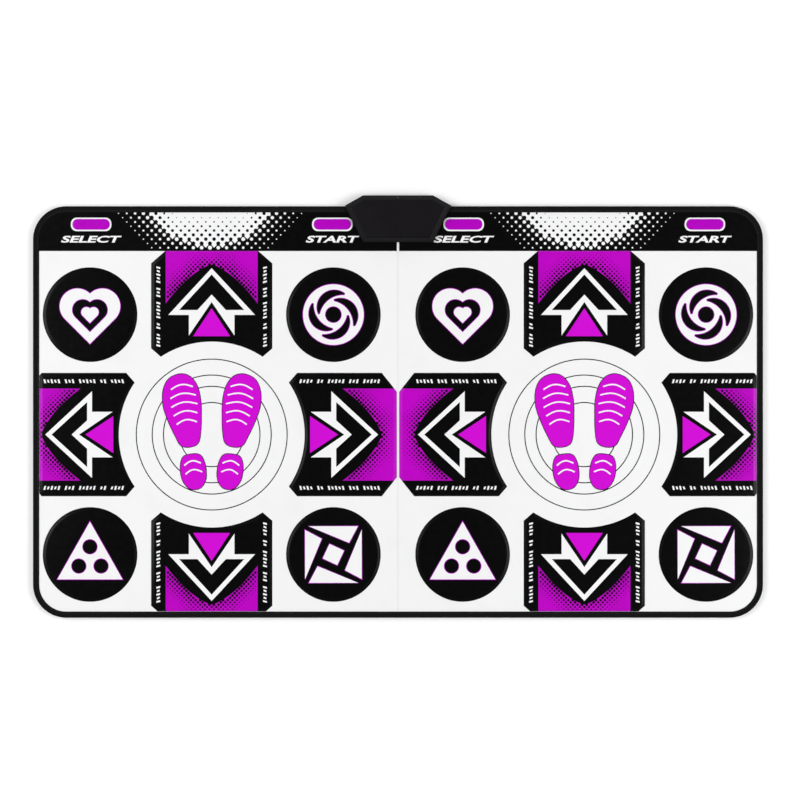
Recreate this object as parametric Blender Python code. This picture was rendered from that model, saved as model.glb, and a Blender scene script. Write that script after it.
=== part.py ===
"""A dance mat controller for two players, with its control box, as separate pieces.

Metres, +Z up. The origin is on the floor under the middle of the whole outline. +X runs along the
mat to the right player's half, and +Y to the edge that holds the control box.
"""

import math

import bmesh
import bpy
from mathutils import Vector
from mathutils.geometry import delaunay_2d_cdt

# Outline of the mat
MAT_LENGTH = 1.650
MAT_WIDTH = 0.930
CORNER_RADIUS = 0.075
CORNER_STEPS = 12

# Layers, from the floor up
LAYER_GAP = 0.0003
BASE_SHEET = 0.0010
BASE_FOAM = 0.0050
CONTACT_FILM = 0.0003
SPACER_FOAM = 0.0014
TOP_COVER = 0.0008

# Binding round the edge
BINDING_WIDTH = 0.014
BINDING_TAPE = 0.0008

# Print layout that places the pads
BAND_DEPTH = 0.101
CENTRE_LINE = 0.005
DISC_DIAMETER = 0.214
DISC_STEPS = 48
DISC_TO_BINDING = 0.008
DISC_TO_CENTRE = 0.039
DISC_TO_BAND = 0.037
DISC_TO_FRONT_BINDING = 0.022
PAD_GAP = 0.0003
PAD_SLOPE = 0.008

# Arrow pads round the middle of each half
ARROW_ARC_RADIUS = 0.210
ARROW_ARC_STEPS = 16
COLUMN_SPACING = 0.031
ROW_SPACING = 0.0245
INNER_CHAMFER_ACROSS = 0.022
INNER_CHAMFER_ALONG = 0.019
REAR_CHAMFER_ACROSS = 0.032
REAR_CHAMFER_ALONG = 0.028
SIDE_CHAMFER_ACROSS = 0.043
SIDE_CHAMFER_ALONG = 0.034

# Select and start buttons in the dark band
BUTTON_LENGTH = 0.092
BUTTON_WIDTH = 0.031
BUTTON_RADIUS = 0.0135
BUTTON_FROM_EDGE = 0.041
BUTTON_TO_BOX = 0.0035
BUTTON_STEPS = 5

# Windows in the spacer foam, where the films meet
WINDOW_DIAMETER = 0.032
WINDOW_PITCH = 0.052
WINDOW_STEPS = 8
BUTTON_WINDOW_DIAMETER = 0.014
BUTTON_WINDOW_PITCH = 0.024

# Outline of the control box
BOX_PROTRUSION = 0.024
BOX_DEPTH = 0.1055
BOX_REAR_WIDTH = 0.158
BOX_SHOULDER_WIDTH = 0.240
BOX_SHOULDER_DEPTH = 0.023
BOX_FRONT_WIDTH = 0.154
BOX_FRONT_CHAMFER = 0.0033

# Shells of the control box
BOX_WALL = 0.0022
BOX_FLOOR = 0.0030
BOX_LIP = 0.008
BOX_FLANGE = 0.007
BOX_RIM_HEIGHT = 0.0079
BOX_BEVEL_WIDTH = 0.011
BOX_BEVEL_HEIGHT = 0.0105
SHELL_GAP = 0.0003
PARTING_CLEARANCE = 0.0005

# Screws of the control box
SCREW_DIAMETER = 0.0030
SCREW_HEAD_DIAMETER = 0.0060
SCREW_HEAD_HEIGHT = 0.0015
SCREW_HEAD_RECESS = 0.0004
SCREW_LENGTH = 0.0155
SCREW_CLEARANCE = 0.0003
POST_WALL = 0.0022
POST_SINK = 0.0012
REAR_SCREW_FROM_SIDE = 0.030
REAR_SCREW_FROM_REAR = 0.027
FRONT_SCREW_FROM_SIDE = 0.025
FRONT_SCREW_FROM_FRONT = 0.0365
ROUND_STEPS = 16

# Circuit board and what clamps the film tails to it
BOARD_THICKNESS = 0.0016
BOARD_MARGIN = 0.001
TAIL_WIDTH = 0.020
TAIL_LENGTH = 0.022
LOWER_TAIL_X = 0.052
UPPER_TAIL_X = 0.026
CLAMP_DEPTH = 0.012
CLAMP_HEIGHT = 0.004
CLAMP_FROM_WALL = 0.004
CLAMP_SCREW_DIAMETER = 0.0025
CLAMP_SCREW_HEAD_DIAMETER = 0.0050
CLAMP_SCREW_HEAD_HEIGHT = 0.0018
CLAMP_SCREW_TAIL = 0.0006

# Electronics on the board
CHIP_SIZE = 0.014
CHIP_HEIGHT = 0.0020
CHIP_FROM_REAR = 0.048
CRYSTAL_LENGTH = 0.011
CRYSTAL_WIDTH = 0.0045
CRYSTAL_HEIGHT = 0.0035
CRYSTAL_X = 0.021
CAPACITOR_DIAMETER = 0.0063
CAPACITOR_HEIGHT = 0.0075
CAPACITOR_X = 0.052
CAPACITOR_FROM_REAR = 0.030
LIGHT_FROM_REAR = 0.0054
LED_DIAMETER = 0.0028
LED_HEIGHT = 0.0012
LIGHT_GUIDE_DIAMETER = 0.0030
LIGHT_GUIDE_PROUD = 0.0004
LIGHT_GUIDE_CHAMFER = 0.0006

# Socket for the lead
SOCKET_X = 0.034
SOCKET_WIDTH = 0.012
SOCKET_HEIGHT = 0.0105
SOCKET_DEPTH = 0.016
SOCKET_SET_BACK = 0.0004
SOCKET_MOUTH_WIDTH = 0.0085
SOCKET_MOUTH_HEIGHT = 0.0078
SOCKET_MOUTH_DEPTH = 0.009
TONGUE_WIDTH = 0.0066
TONGUE_HEIGHT = 0.0018
TONGUE_DROP = 0.0006
TONGUE_SET_BACK = 0.001

# Heights of the layers
BASE_FOAM_LOW = BASE_SHEET + LAYER_GAP
LOWER_FILM_LOW = BASE_FOAM_LOW + BASE_FOAM + LAYER_GAP
SPACER_LOW = LOWER_FILM_LOW + CONTACT_FILM + LAYER_GAP
UPPER_FILM_LOW = SPACER_LOW + SPACER_FOAM + LAYER_GAP
COVER_LOW = UPPER_FILM_LOW + CONTACT_FILM + LAYER_GAP
COVER_HIGH = COVER_LOW + TOP_COVER
BINDING_HIGH = COVER_HIGH + LAYER_GAP + BINDING_TAPE
PAD_TRAVEL = SPACER_FOAM + 2 * LAYER_GAP

# Edges of the mat and of the control box
MAT_REAR = (MAT_WIDTH - BOX_PROTRUSION) / 2
MAT_FRONT = MAT_REAR - MAT_WIDTH
MAT_END = MAT_LENGTH / 2
BOX_REAR = MAT_REAR + BOX_PROTRUSION
BOX_FRONT = BOX_REAR - BOX_DEPTH
BOX_SHOULDER = BOX_REAR - BOX_SHOULDER_DEPTH
PARTING_Y = MAT_REAR + PARTING_CLEARANCE
TRAY_FRONT = BOX_FRONT + BOX_LIP

# Middle of each half, and where its discs stand round it
BAND_EDGE = MAT_REAR - BAND_DEPTH
OUTER_DISC_X = MAT_END - BINDING_WIDTH - DISC_TO_BINDING - DISC_DIAMETER / 2
INNER_DISC_X = DISC_TO_CENTRE + DISC_DIAMETER / 2
REAR_DISC_Y = BAND_EDGE - DISC_TO_BAND - DISC_DIAMETER / 2
FRONT_DISC_Y = MAT_FRONT + BINDING_WIDTH + DISC_TO_FRONT_BINDING + DISC_DIAMETER / 2
HALF_X = (OUTER_DISC_X + INNER_DISC_X) / 2
HALF_Y = (REAR_DISC_Y + FRONT_DISC_Y) / 2
COLUMN_PITCH = (OUTER_DISC_X - INNER_DISC_X) / 2
ROW_PITCH = (REAR_DISC_Y - FRONT_DISC_Y) / 2

# Heights in the control box
TRAY_RIM = COVER_HIGH
SHELL_RIM = TRAY_RIM + SHELL_GAP
BEVEL_START = SHELL_RIM + BOX_RIM_HEIGHT
BOX_HIGH = BEVEL_START + BOX_BEVEL_HEIGHT
BOARD_HIGH = LOWER_FILM_LOW - LAYER_GAP
BOARD_LOW = BOARD_HIGH - BOARD_THICKNESS
BOARD_REST = BOARD_LOW - SHELL_GAP
POST_LOW = BOARD_HIGH + SHELL_GAP
SCREW_SHOULDER = SCREW_HEAD_RECESS + SCREW_HEAD_HEIGHT
ON_BOARD = BOARD_HIGH + SHELL_GAP
WINDOW_LOW = ON_BOARD - SHELL_GAP
WINDOW_HIGH = ON_BOARD + SOCKET_HEIGHT + SHELL_GAP

# How far a cutter runs past a face, and how near to each other two points are one
OVERSHOOT = 0.002
MERGE_DIGITS = 7

# The two sides of whatever is mirrored, with the sign of their X
SIDES = (("left", -1), ("right", 1))

# Finishes, each as a colour, a roughness and a metallic value
WHITE_VINYL = ((0.86, 0.86, 0.86), 0.45, 0.0)
BLACK_VINYL = ((0.006, 0.006, 0.006), 0.45, 0.0)
MAGENTA_VINYL = ((0.52, 0.0, 0.56), 0.45, 0.0)
BLACK_CLOTH = ((0.006, 0.006, 0.006), 0.7, 0.0)
BLUE_GREY_CLOTH = ((0.10, 0.12, 0.15), 0.85, 0.0)
GREY_FOAM = ((0.16, 0.16, 0.17), 0.9, 0.0)
WHITE_FOAM = ((0.80, 0.80, 0.78), 0.9, 0.0)
CLEAR_FILM = ((0.55, 0.58, 0.60), 0.3, 0.0)
CHARCOAL_PLASTIC = ((0.012, 0.011, 0.013), 0.45, 0.0)
CLEAR_PLASTIC = ((0.80, 0.82, 0.85), 0.15, 0.0)
WHITE_PLASTIC = ((0.75, 0.75, 0.73), 0.5, 0.0)
RED_LAMP = ((0.8, 0.1, 0.05), 0.3, 0.0)
BOARD_LACQUER = ((0.01, 0.12, 0.05), 0.4, 0.0)
CHIP_PLASTIC = ((0.008, 0.008, 0.009), 0.5, 0.0)
STEEL = ((0.55, 0.55, 0.56), 0.3, 1.0)


def clear_scene():
    for item in list(bpy.data.objects):
        bpy.data.objects.remove(item, do_unlink=True)


def surface(name, finish):
    colour, roughness, metallic = finish
    material = bpy.data.materials.new(name + "_finish")
    material.use_nodes = True
    shader = material.node_tree.nodes["Principled BSDF"]
    shader.inputs["Base Color"].default_value = (*colour, 1.0)
    shader.inputs["Roughness"].default_value = roughness
    shader.inputs["Metallic"].default_value = metallic
    return material


def add_object(name, bm, finish, location=(0, 0, 0), angle=0.0, smooth=False):
    bmesh.ops.recalc_face_normals(bm, faces=bm.faces[:])
    mesh = bpy.data.meshes.new(name)
    bm.to_mesh(mesh)
    bm.free()
    if smooth:
        mesh.shade_smooth()
        mesh.set_sharp_from_angle(angle=math.radians(30))
    item = bpy.data.objects.new(name, mesh)
    item.data.materials.append(surface(name, finish))
    item.location = location
    item.rotation_euler.z = angle
    bpy.context.scene.collection.objects.link(item)
    return item


def add_tool(name, bm):
    """A guide body that a Boolean modifier uses and that isn't a piece."""
    bmesh.ops.recalc_face_normals(bm, faces=bm.faces[:])
    mesh = bpy.data.meshes.new(name)
    bm.to_mesh(mesh)
    bm.free()
    item = bpy.data.objects.new(name, mesh)
    item.hide_render = True
    item.display_type = "WIRE"
    bpy.context.scene.collection.objects.link(item)
    return item


def combine(item, tool, operation):
    modifier = item.modifiers.new(tool.name, "BOOLEAN")
    modifier.operation = operation
    modifier.object = tool


def arc(centre_x, centre_y, radius, start, end, steps):
    """Points on an arc, with the angles in degrees and both ends included."""
    points = []
    for i in range(steps + 1):
        turn = math.radians(start + (end - start) * i / steps)
        points.append((centre_x + radius * math.cos(turn), centre_y + radius * math.sin(turn)))
    return points


def circle(centre_x, centre_y, radius, steps):
    return arc(centre_x, centre_y, radius, 0, 360, steps)[:-1]


def mirrored(points):
    return [(-x, y) for x, y in reversed(points)]


def outset(points, distance):
    """The counter-clockwise outline moved outwards by a distance, or inwards by a negative one."""
    moved = []
    for i, (x, y) in enumerate(points):
        before = Vector((x, y)) - Vector(points[i - 1])
        after = Vector(points[(i + 1) % len(points)]) - Vector((x, y))
        first = Vector((before.y, -before.x)).normalized()
        second = Vector((after.y, -after.x)).normalized()
        share = (first + second) / (1 + first.dot(second))
        moved.append((x + share.x * distance, y + share.y * distance))
    return moved


def is_solid(x, y, loops):
    """Whether a point is inside an odd number of loops, which is on the material and not in a hole."""
    inside = False
    for loop in loops:
        for (x0, y0), (x1, y1) in zip(loop, loop[1:] + loop[:1]):
            if (y0 > y) != (y1 > y) and x < x0 + (y - y0) * (x1 - x0) / (y1 - y0):
                inside = not inside
    return inside


def slab(outline, holes, low, high):
    """A flat piece between two heights, with holes right through it."""
    loops = [outline, *holes]
    points, edges = [], []
    for loop in loops:
        start = len(points)
        points += [Vector(point) for point in loop]
        edges += [(start + i, start + (i + 1) % len(loop)) for i in range(len(loop))]
    flat, _, faces, *_ = delaunay_2d_cdt(points, edges, [], 1, 10**-MERGE_DIGITS)
    bm = bmesh.new()
    corners = [bm.verts.new((point.x, point.y, low)) for point in flat]
    for face in faces:
        middle = sum((flat[i] for i in face), Vector((0, 0))) / len(face)
        if is_solid(middle.x, middle.y, loops):
            bm.faces.new([corners[i] for i in face])
    loose = [corner for corner in corners if not corner.link_faces]
    bmesh.ops.delete(bm, geom=loose, context="VERTS")
    grown = bmesh.ops.extrude_face_region(bm, geom=bm.faces[:])["geom"]
    raised = [part for part in grown if isinstance(part, bmesh.types.BMVert)]
    bmesh.ops.translate(bm, verts=raised, vec=(0, 0, high - low))
    return bm


def loft(bm, rings):
    """A closed body through rings of equally many points, capped at both ends."""
    known = {}
    rows = []
    for outline, height in rings:
        row = []
        for x, y in outline:
            key = tuple(round(value, MERGE_DIGITS) for value in (x, y, height))
            if key not in known:
                known[key] = bm.verts.new((x, y, height))
            row.append(known[key])
        rows.append(row)
    for lower, upper in zip(rows, rows[1:]):
        for i in range(len(lower)):
            j = (i + 1) % len(lower)
            corners = []
            for corner in (lower[i], lower[j], upper[j], upper[i]):
                if corner not in corners:
                    corners.append(corner)
            if len(corners) > 2:
                bm.faces.new(corners)
    bm.faces.new(rows[0])
    bm.faces.new(rows[-1])
    return bm


def turned(bm, x, y, profile, steps=ROUND_STEPS):
    """A round body from (radius, height) pairs, from the bottom up."""
    return loft(bm, [(circle(x, y, radius, steps), height) for radius, height in profile])


def block(bm, x_range, y_range, z_range):
    (x0, x1), (y0, y1), (z0, z1) = x_range, y_range, z_range
    outline = [(x0, y0), (x1, y0), (x1, y1), (x0, y1)]
    return loft(bm, [(outline, z0), (outline, z1)])


def box_side_x(y, inset=0.0):
    """Where the slanting side of the control box stands at a place along it."""
    front_y = BOX_FRONT + BOX_FRONT_CHAMFER
    front_x = BOX_FRONT_WIDTH / 2 + BOX_FRONT_CHAMFER
    slope = (BOX_SHOULDER_WIDTH / 2 - front_x) / (BOX_SHOULDER - front_y)
    return front_x + (y - front_y) * slope - inset * math.hypot(1, slope)


def box_edge_x(y):
    """The half width of the control box, in front of its shoulders or behind them."""
    slope = (BOX_SHOULDER_WIDTH - BOX_REAR_WIDTH) / 2 / BOX_SHOULDER_DEPTH
    return min(box_side_x(y), BOX_REAR_WIDTH / 2 + (BOX_REAR - y) * slope)


def box_outline():
    right = [
        (BOX_FRONT_WIDTH / 2, BOX_FRONT),
        (BOX_FRONT_WIDTH / 2 + BOX_FRONT_CHAMFER, BOX_FRONT + BOX_FRONT_CHAMFER),
        (BOX_SHOULDER_WIDTH / 2, BOX_SHOULDER),
        (BOX_REAR_WIDTH / 2, BOX_REAR),
    ]
    return right + mirrored(right)


def tray_outline(growth=0.0):
    """The tray under the mat's notch. Behind the mat it is as wide as the box."""
    inset = BOX_LIP - growth
    right = [
        (box_side_x(TRAY_FRONT - growth, inset), TRAY_FRONT - growth),
        (box_side_x(PARTING_Y - growth, inset), PARTING_Y - growth),
        (box_edge_x(PARTING_Y), PARTING_Y),
        (BOX_REAR_WIDTH / 2, BOX_REAR),
    ]
    return right + mirrored(right)


def board_outline():
    inset = BOX_WALL + BOARD_MARGIN
    front = TRAY_FRONT + inset
    right = [
        (box_side_x(front, BOX_LIP + inset), front),
        (box_side_x(PARTING_Y, BOX_LIP + inset), PARTING_Y),
        (BOX_REAR_WIDTH / 2 - BOX_WALL, BOX_REAR - inset),
    ]
    return right + mirrored(right)


def notch(growth, rear):
    """The two right-hand corners of the notch that a layer of the mat leaves for the tray."""
    inset = BOX_LIP - growth
    front = TRAY_FRONT - growth
    return [(box_side_x(rear, inset), rear), (box_side_x(front, inset), front)]


def mat_corner(inset, rear, steps=CORNER_STEPS):
    """A right-hand corner of the mat, anticlockwise."""
    x = MAT_END - CORNER_RADIUS
    y = MAT_REAR - CORNER_RADIUS if rear else MAT_FRONT + CORNER_RADIUS
    start = 0 if rear else -90
    return arc(x, y, CORNER_RADIUS - inset, start, start + 90, steps)


def mat_outline(inset, notch_growth):
    right = mat_corner(inset, rear=False) + mat_corner(inset, rear=True)
    right += notch(notch_growth, MAT_REAR - inset)
    return right + mirrored(right)


def half_outline(inset, notch_growth, tail_x=None):
    """The right half of a layer, with a tail into the control box where the layer has one."""
    centre = CENTRE_LINE / 2
    points = [(centre, MAT_FRONT + inset)]
    points += mat_corner(inset, rear=False) + mat_corner(inset, rear=True)
    points += notch(notch_growth, MAT_REAR - inset)
    front = TRAY_FRONT - notch_growth
    if tail_x is not None:
        tail_end = TRAY_FRONT + TAIL_LENGTH
        points += [
            (tail_x + TAIL_WIDTH / 2, front),
            (tail_x + TAIL_WIDTH / 2, tail_end),
            (tail_x - TAIL_WIDTH / 2, tail_end),
            (tail_x - TAIL_WIDTH / 2, front),
        ]
    points.append((centre, front))
    return points


def arrow_outline(half_width, reach, limit, chamfer_across, chamfer_along):
    """An arrow pad that points along +Y, from the middle of its half of the mat.

    Where the limit is nearer than the reach, the binding cuts the pad's outer end off.
    """
    tip_x = half_width - INNER_CHAMFER_ACROSS
    tip_turn = math.degrees(math.acos(tip_x / ARROW_ARC_RADIUS))
    tip_y = ARROW_ARC_RADIUS * math.sin(math.radians(tip_turn))
    side_start = tip_y + INNER_CHAMFER_ALONG
    side_end = min(reach - chamfer_along, limit)
    right = [(half_width, side_start), (half_width, side_end)]
    if limit > side_end:
        end_y = min(reach, limit)
        end_x = half_width - chamfer_across * (end_y - side_end) / chamfer_along
        right.append((end_x, end_y))
    inner = arc(0, 0, ARROW_ARC_RADIUS, 180 - tip_turn, tip_turn, ARROW_ARC_STEPS)
    return inner + right + mirrored(right)


def button_outline():
    x = BUTTON_LENGTH / 2 - BUTTON_RADIUS
    y = BUTTON_WIDTH / 2 - BUTTON_RADIUS
    right = arc(x, -y, BUTTON_RADIUS, -90, 0, BUTTON_STEPS) + arc(x, y, BUTTON_RADIUS, 0, 90, BUTTON_STEPS)
    return right + mirrored(right)


def turned_outline(points, centre, angle):
    c, s = math.cos(angle), math.sin(angle)
    return [(centre[0] + c * x - s * y, centre[1] + s * x + c * y) for x, y in points]


def arrow_pads(half_x, outward):
    """The four arrow pads of one half, each as (name, place, angle, outline about its place).

    The outward side is 1 on the right half and -1 on the left half.
    """
    column_half = COLUMN_PITCH - DISC_DIAMETER / 2 - COLUMN_SPACING
    row_half = ROW_PITCH - DISC_DIAMETER / 2 - ROW_SPACING
    rear_reach = BAND_EDGE - HALF_Y
    side_reach = HALF_X - CENTRE_LINE / 2
    front_limit = HALF_Y - MAT_FRONT - BINDING_WIDTH - PAD_GAP
    end_limit = MAT_END - BINDING_WIDTH - PAD_GAP - HALF_X
    rear_chamfer = (REAR_CHAMFER_ACROSS, REAR_CHAMFER_ALONG)
    side_chamfer = (SIDE_CHAMFER_ACROSS, SIDE_CHAMFER_ALONG)
    right_limit = end_limit if outward > 0 else side_reach
    left_limit = side_reach if outward > 0 else end_limit
    kinds = [
        ("up_arrow", 0, column_half, rear_reach, rear_reach, rear_chamfer),
        ("down_arrow", 180, column_half, rear_reach, front_limit, rear_chamfer),
        ("right_arrow", -90, row_half, side_reach, right_limit, side_chamfer),
        ("left_arrow", 90, row_half, side_reach, left_limit, side_chamfer),
    ]
    pads = []
    for name, degrees, half_width, reach, limit, chamfer in kinds:
        turn = math.radians(degrees)
        middle = (ARROW_ARC_RADIUS + min(reach, limit)) / 2
        outline = arrow_outline(half_width, reach, limit, *chamfer)
        place = (half_x - middle * math.sin(turn), HALF_Y + middle * math.cos(turn))
        pads.append((name, place, turn, [(x, y - middle) for x, y in outline]))
    return pads


def all_pads(side, outward):
    """Every pad and button of one half, each as (name, place, angle, outline, window places)."""
    half_x = HALF_X * outward
    pads = []
    cross = [(0, 0)] + circle(0, 0, WINDOW_PITCH, 4)
    for name, place, turn, outline in arrow_pads(half_x, outward):
        pads.append((f"{side}_{name}_pad", place, turn, outline, cross))
    disc = circle(0, 0, DISC_DIAMETER / 2, DISC_STEPS)
    for row, y in (("rear", REAR_DISC_Y), ("front", FRONT_DISC_Y)):
        for column, step in SIDES:
            place = (half_x + step * COLUMN_PITCH, y)
            pads.append((f"{side}_{row}_{column}_disc_pad", place, 0.0, disc, cross))
    button_y = MAT_REAR - BUTTON_FROM_EDGE
    button_offset = HALF_X - box_side_x(button_y) - BUTTON_TO_BOX - BUTTON_LENGTH / 2
    row_of_three = [(step * BUTTON_WINDOW_PITCH, 0) for step in (-1, 0, 1)]
    for name, step in (("select", -1), ("start", 1)):
        place = (half_x + step * button_offset, button_y)
        pads.append((f"{side}_{name}_button", place, 0.0, button_outline(), row_of_three))
    return pads


def make_pads(side, outward):
    """Pads whose sloping rim is level with the cover. Pressed down, the crown is level with it."""
    for name, place, turn, outline, _ in all_pads(side, outward):
        rim = outset(outline, -PAD_GAP)
        crown = outset(rim, -PAD_SLOPE)
        bm = loft(bmesh.new(), [(rim, 0), (rim, TOP_COVER), (crown, TOP_COVER + PAD_TRAVEL)])
        finish = BLACK_VINYL if "disc" in name else MAGENTA_VINYL
        add_object(name, bm, finish, location=(*place, COVER_LOW), angle=turn)


def make_base_layers():
    sheet = slab(mat_outline(BINDING_WIDTH + LAYER_GAP, BOX_FLANGE + SHELL_GAP), [], 0, BASE_SHEET)
    add_object("base_sheet", sheet, BLUE_GREY_CLOTH)
    inset = BINDING_TAPE + LAYER_GAP
    foam = slab(mat_outline(inset, SHELL_GAP), [], BASE_FOAM_LOW, BASE_FOAM_LOW + BASE_FOAM)
    add_object("base_foam", foam, GREY_FOAM)


def make_half_layer(name, outline, holes, low, thickness, outward, finish):
    if outward < 0:
        outline = mirrored(outline)
    add_object(name, slab(outline, holes, low, low + thickness), finish)


def spacer_windows(side, outward):
    windows = []
    for name, place, turn, _, middles in all_pads(side, outward):
        diameter = BUTTON_WINDOW_DIAMETER if "button" in name else WINDOW_DIAMETER
        for x, y in turned_outline(middles, place, turn):
            windows.append(circle(x, y, diameter / 2, WINDOW_STEPS))
    return windows


def make_contact_layers(side, outward):
    inset = BINDING_TAPE + LAYER_GAP
    lower = half_outline(inset, SHELL_GAP, LOWER_TAIL_X)
    upper = half_outline(inset, SHELL_GAP, UPPER_TAIL_X)
    between = half_outline(inset, SHELL_GAP)
    windows = spacer_windows(side, outward)
    make_half_layer(f"{side}_lower_film", lower, [], LOWER_FILM_LOW, CONTACT_FILM, outward, CLEAR_FILM)
    make_half_layer(f"{side}_spacer_foam", between, windows, SPACER_LOW, SPACER_FOAM, outward, WHITE_FOAM)
    make_half_layer(f"{side}_upper_film", upper, [], UPPER_FILM_LOW, CONTACT_FILM, outward, CLEAR_FILM)


def make_cover():
    openings = []
    for side, outward in SIDES:
        for _, place, turn, outline, _ in all_pads(side, outward):
            openings.append(turned_outline(outline, place, turn))
    outline = mat_outline(BINDING_TAPE + LAYER_GAP, SHELL_GAP)
    add_object("top_cover", slab(outline, openings, COVER_LOW, COVER_HIGH), WHITE_VINYL)


def make_binding():
    """Tape folded round the edge, from one side of the control box to the other."""
    profile = [
        (0, 0),
        (BINDING_WIDTH, 0),
        (BINDING_WIDTH, BASE_SHEET),
        (BINDING_TAPE, BASE_SHEET),
        (BINDING_TAPE, COVER_HIGH + LAYER_GAP),
        (BINDING_WIDTH, COVER_HIGH + LAYER_GAP),
        (BINDING_WIDTH, BINDING_HIGH),
        (0, BINDING_HIGH),
    ]
    end_x = box_side_x(MAT_REAR) + SHELL_GAP
    bm = bmesh.new()
    rows = []
    for inset, height in profile:
        right = mat_corner(inset, rear=False) + mat_corner(inset, rear=True)
        right.append((end_x, MAT_REAR - inset))
        path = mirrored(right) + right
        rows.append([bm.verts.new((x, y, height)) for x, y in path])
    for row, above in zip(rows, rows[1:] + rows[:1]):
        for i in range(len(row) - 1):
            bm.faces.new((row[i], row[i + 1], above[i + 1], above[i]))
    bm.faces.new([row[0] for row in rows])
    bm.faces.new([row[-1] for row in rows])
    add_object("edge_binding", bm, BLACK_CLOTH)


def screw_places():
    places = {}
    rear = ("rear", BOX_REAR - REAR_SCREW_FROM_REAR, REAR_SCREW_FROM_SIDE)
    front = ("front", BOX_FRONT + FRONT_SCREW_FROM_FRONT, FRONT_SCREW_FROM_SIDE)
    for row, y, from_side in (rear, front):
        for side, outward in SIDES:
            places[f"{row}_{side}"] = (outward * (box_side_x(y) - from_side), y)
    return places


def socket_window(name):
    """The opening for the socket, cut through both shells where they meet."""
    half = SOCKET_WIDTH / 2 + SHELL_GAP
    x_range = (SOCKET_X - half, SOCKET_X + half)
    y_range = (BOX_REAR - SOCKET_DEPTH, BOX_REAR + OVERSHOOT)
    return add_tool(name, block(bmesh.new(), x_range, y_range, (WINDOW_LOW, WINDOW_HIGH)))


def make_tray():
    """The lower shell. Its thin flange lies under the mat, beside the base sheet."""
    wall = tray_outline()
    flange = tray_outline(BOX_FLANGE)
    inner = outset(wall, -BOX_WALL)
    rings = [
        (flange, 0),
        (flange, BASE_SHEET),
        (wall, BASE_SHEET),
        (wall, TRAY_RIM),
        (inner, TRAY_RIM),
        (inner, BOX_FLOOR),
    ]
    tray = add_object("box_lower_shell", loft(bmesh.new(), rings), CHARCOAL_PLASTIC)
    posts, holes = bmesh.new(), bmesh.new()
    hole = SCREW_DIAMETER / 2 + SCREW_CLEARANCE
    well = SCREW_HEAD_DIAMETER / 2 + SCREW_CLEARANCE
    well_top = SCREW_SHOULDER + SCREW_CLEARANCE
    for x, y in screw_places().values():
        turned(posts, x, y, [(hole + POST_WALL, BOX_FLOOR - POST_SINK), (hole + POST_WALL, BOARD_REST)])
        stepped = [(well, -OVERSHOOT), (well, well_top), (hole, well_top), (hole, BOARD_HIGH)]
        turned(holes, x, y, stepped)
    combine(tray, add_tool("tray_posts", posts), "UNION")
    combine(tray, add_tool("tray_holes", holes), "DIFFERENCE")
    slot_half = LOWER_TAIL_X + TAIL_WIDTH / 2 + PARTING_CLEARANCE
    front = (TRAY_FRONT - OVERSHOOT, TRAY_FRONT + BOX_WALL + OVERSHOOT)
    slot = block(bmesh.new(), (-slot_half, slot_half), front, (BOARD_HIGH, TRAY_RIM + OVERSHOOT))
    combine(tray, add_tool("tail_slot", slot), "DIFFERENCE")
    combine(tray, socket_window("tray_socket_window"), "DIFFERENCE")


def make_upper_shell():
    """A lid with sloping edges, whose wall is as thick in the slope as elsewhere."""
    half_lean = math.atan2(BOX_BEVEL_WIDTH, BOX_BEVEL_HEIGHT) / 2
    inner_drop = BOX_WALL * math.tan(half_lean)
    ceiling_inset = BOX_WALL * math.tan(math.pi / 4 - half_lean)
    outer = box_outline()
    inner = outset(outer, -BOX_WALL)
    top = outset(outer, -BOX_BEVEL_WIDTH)
    ceiling = outset(outer, -BOX_BEVEL_WIDTH - ceiling_inset)
    rings = [
        (ceiling, BOX_HIGH - BOX_WALL),
        (inner, BEVEL_START - inner_drop),
        (inner, SHELL_RIM),
        (outer, SHELL_RIM),
        (outer, BEVEL_START),
        (top, BOX_HIGH),
    ]
    shell = add_object("box_upper_shell", loft(bmesh.new(), rings), CHARCOAL_PLASTIC)
    posts, holes = bmesh.new(), bmesh.new()
    hole = SCREW_DIAMETER / 2 + SCREW_CLEARANCE
    hole_top = SCREW_SHOULDER + SCREW_LENGTH + SCREW_CLEARANCE
    for x, y in screw_places().values():
        post_high = BOX_HIGH - BOX_WALL + POST_SINK
        turned(posts, x, y, [(hole + POST_WALL, POST_LOW), (hole + POST_WALL, post_high)])
        turned(holes, x, y, [(hole, POST_LOW - OVERSHOOT), (hole, hole_top)])
    light = LIGHT_GUIDE_DIAMETER / 2 + SHELL_GAP
    turned(holes, 0, BOX_REAR - LIGHT_FROM_REAR, [(light, SHELL_RIM), (light, BOX_HIGH + OVERSHOOT)])
    combine(shell, add_tool("shell_posts", posts), "UNION")
    combine(shell, add_tool("shell_holes", holes), "DIFFERENCE")
    combine(shell, socket_window("shell_socket_window"), "DIFFERENCE")


def make_screws():
    head = SCREW_HEAD_DIAMETER / 2
    shank = SCREW_DIAMETER / 2
    end = SCREW_SHOULDER + SCREW_LENGTH
    profile = [(head, SCREW_HEAD_RECESS), (head, SCREW_SHOULDER), (shank, SCREW_SHOULDER), (shank, end)]
    for place, (x, y) in screw_places().items():
        bm = turned(bmesh.new(), 0, 0, profile)
        add_object(f"{place}_box_screw", bm, STEEL, location=(x, y, 0), smooth=True)


def clamp_places():
    y = TRAY_FRONT + BOX_WALL + CLAMP_FROM_WALL + CLAMP_DEPTH / 2
    outer_x = LOWER_TAIL_X + TAIL_WIDTH / 2 + CLAMP_DEPTH / 2
    return [("left", -outer_x, y), ("right", outer_x, y)]


def clamp_outline():
    """A bar across the tails with a round screw eye at each end."""
    _, eye_x, y = clamp_places()[1]
    right = arc(eye_x, y, CLAMP_DEPTH / 2, -90, 90, ROUND_STEPS // 2)
    return right + mirrored(right)


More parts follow.
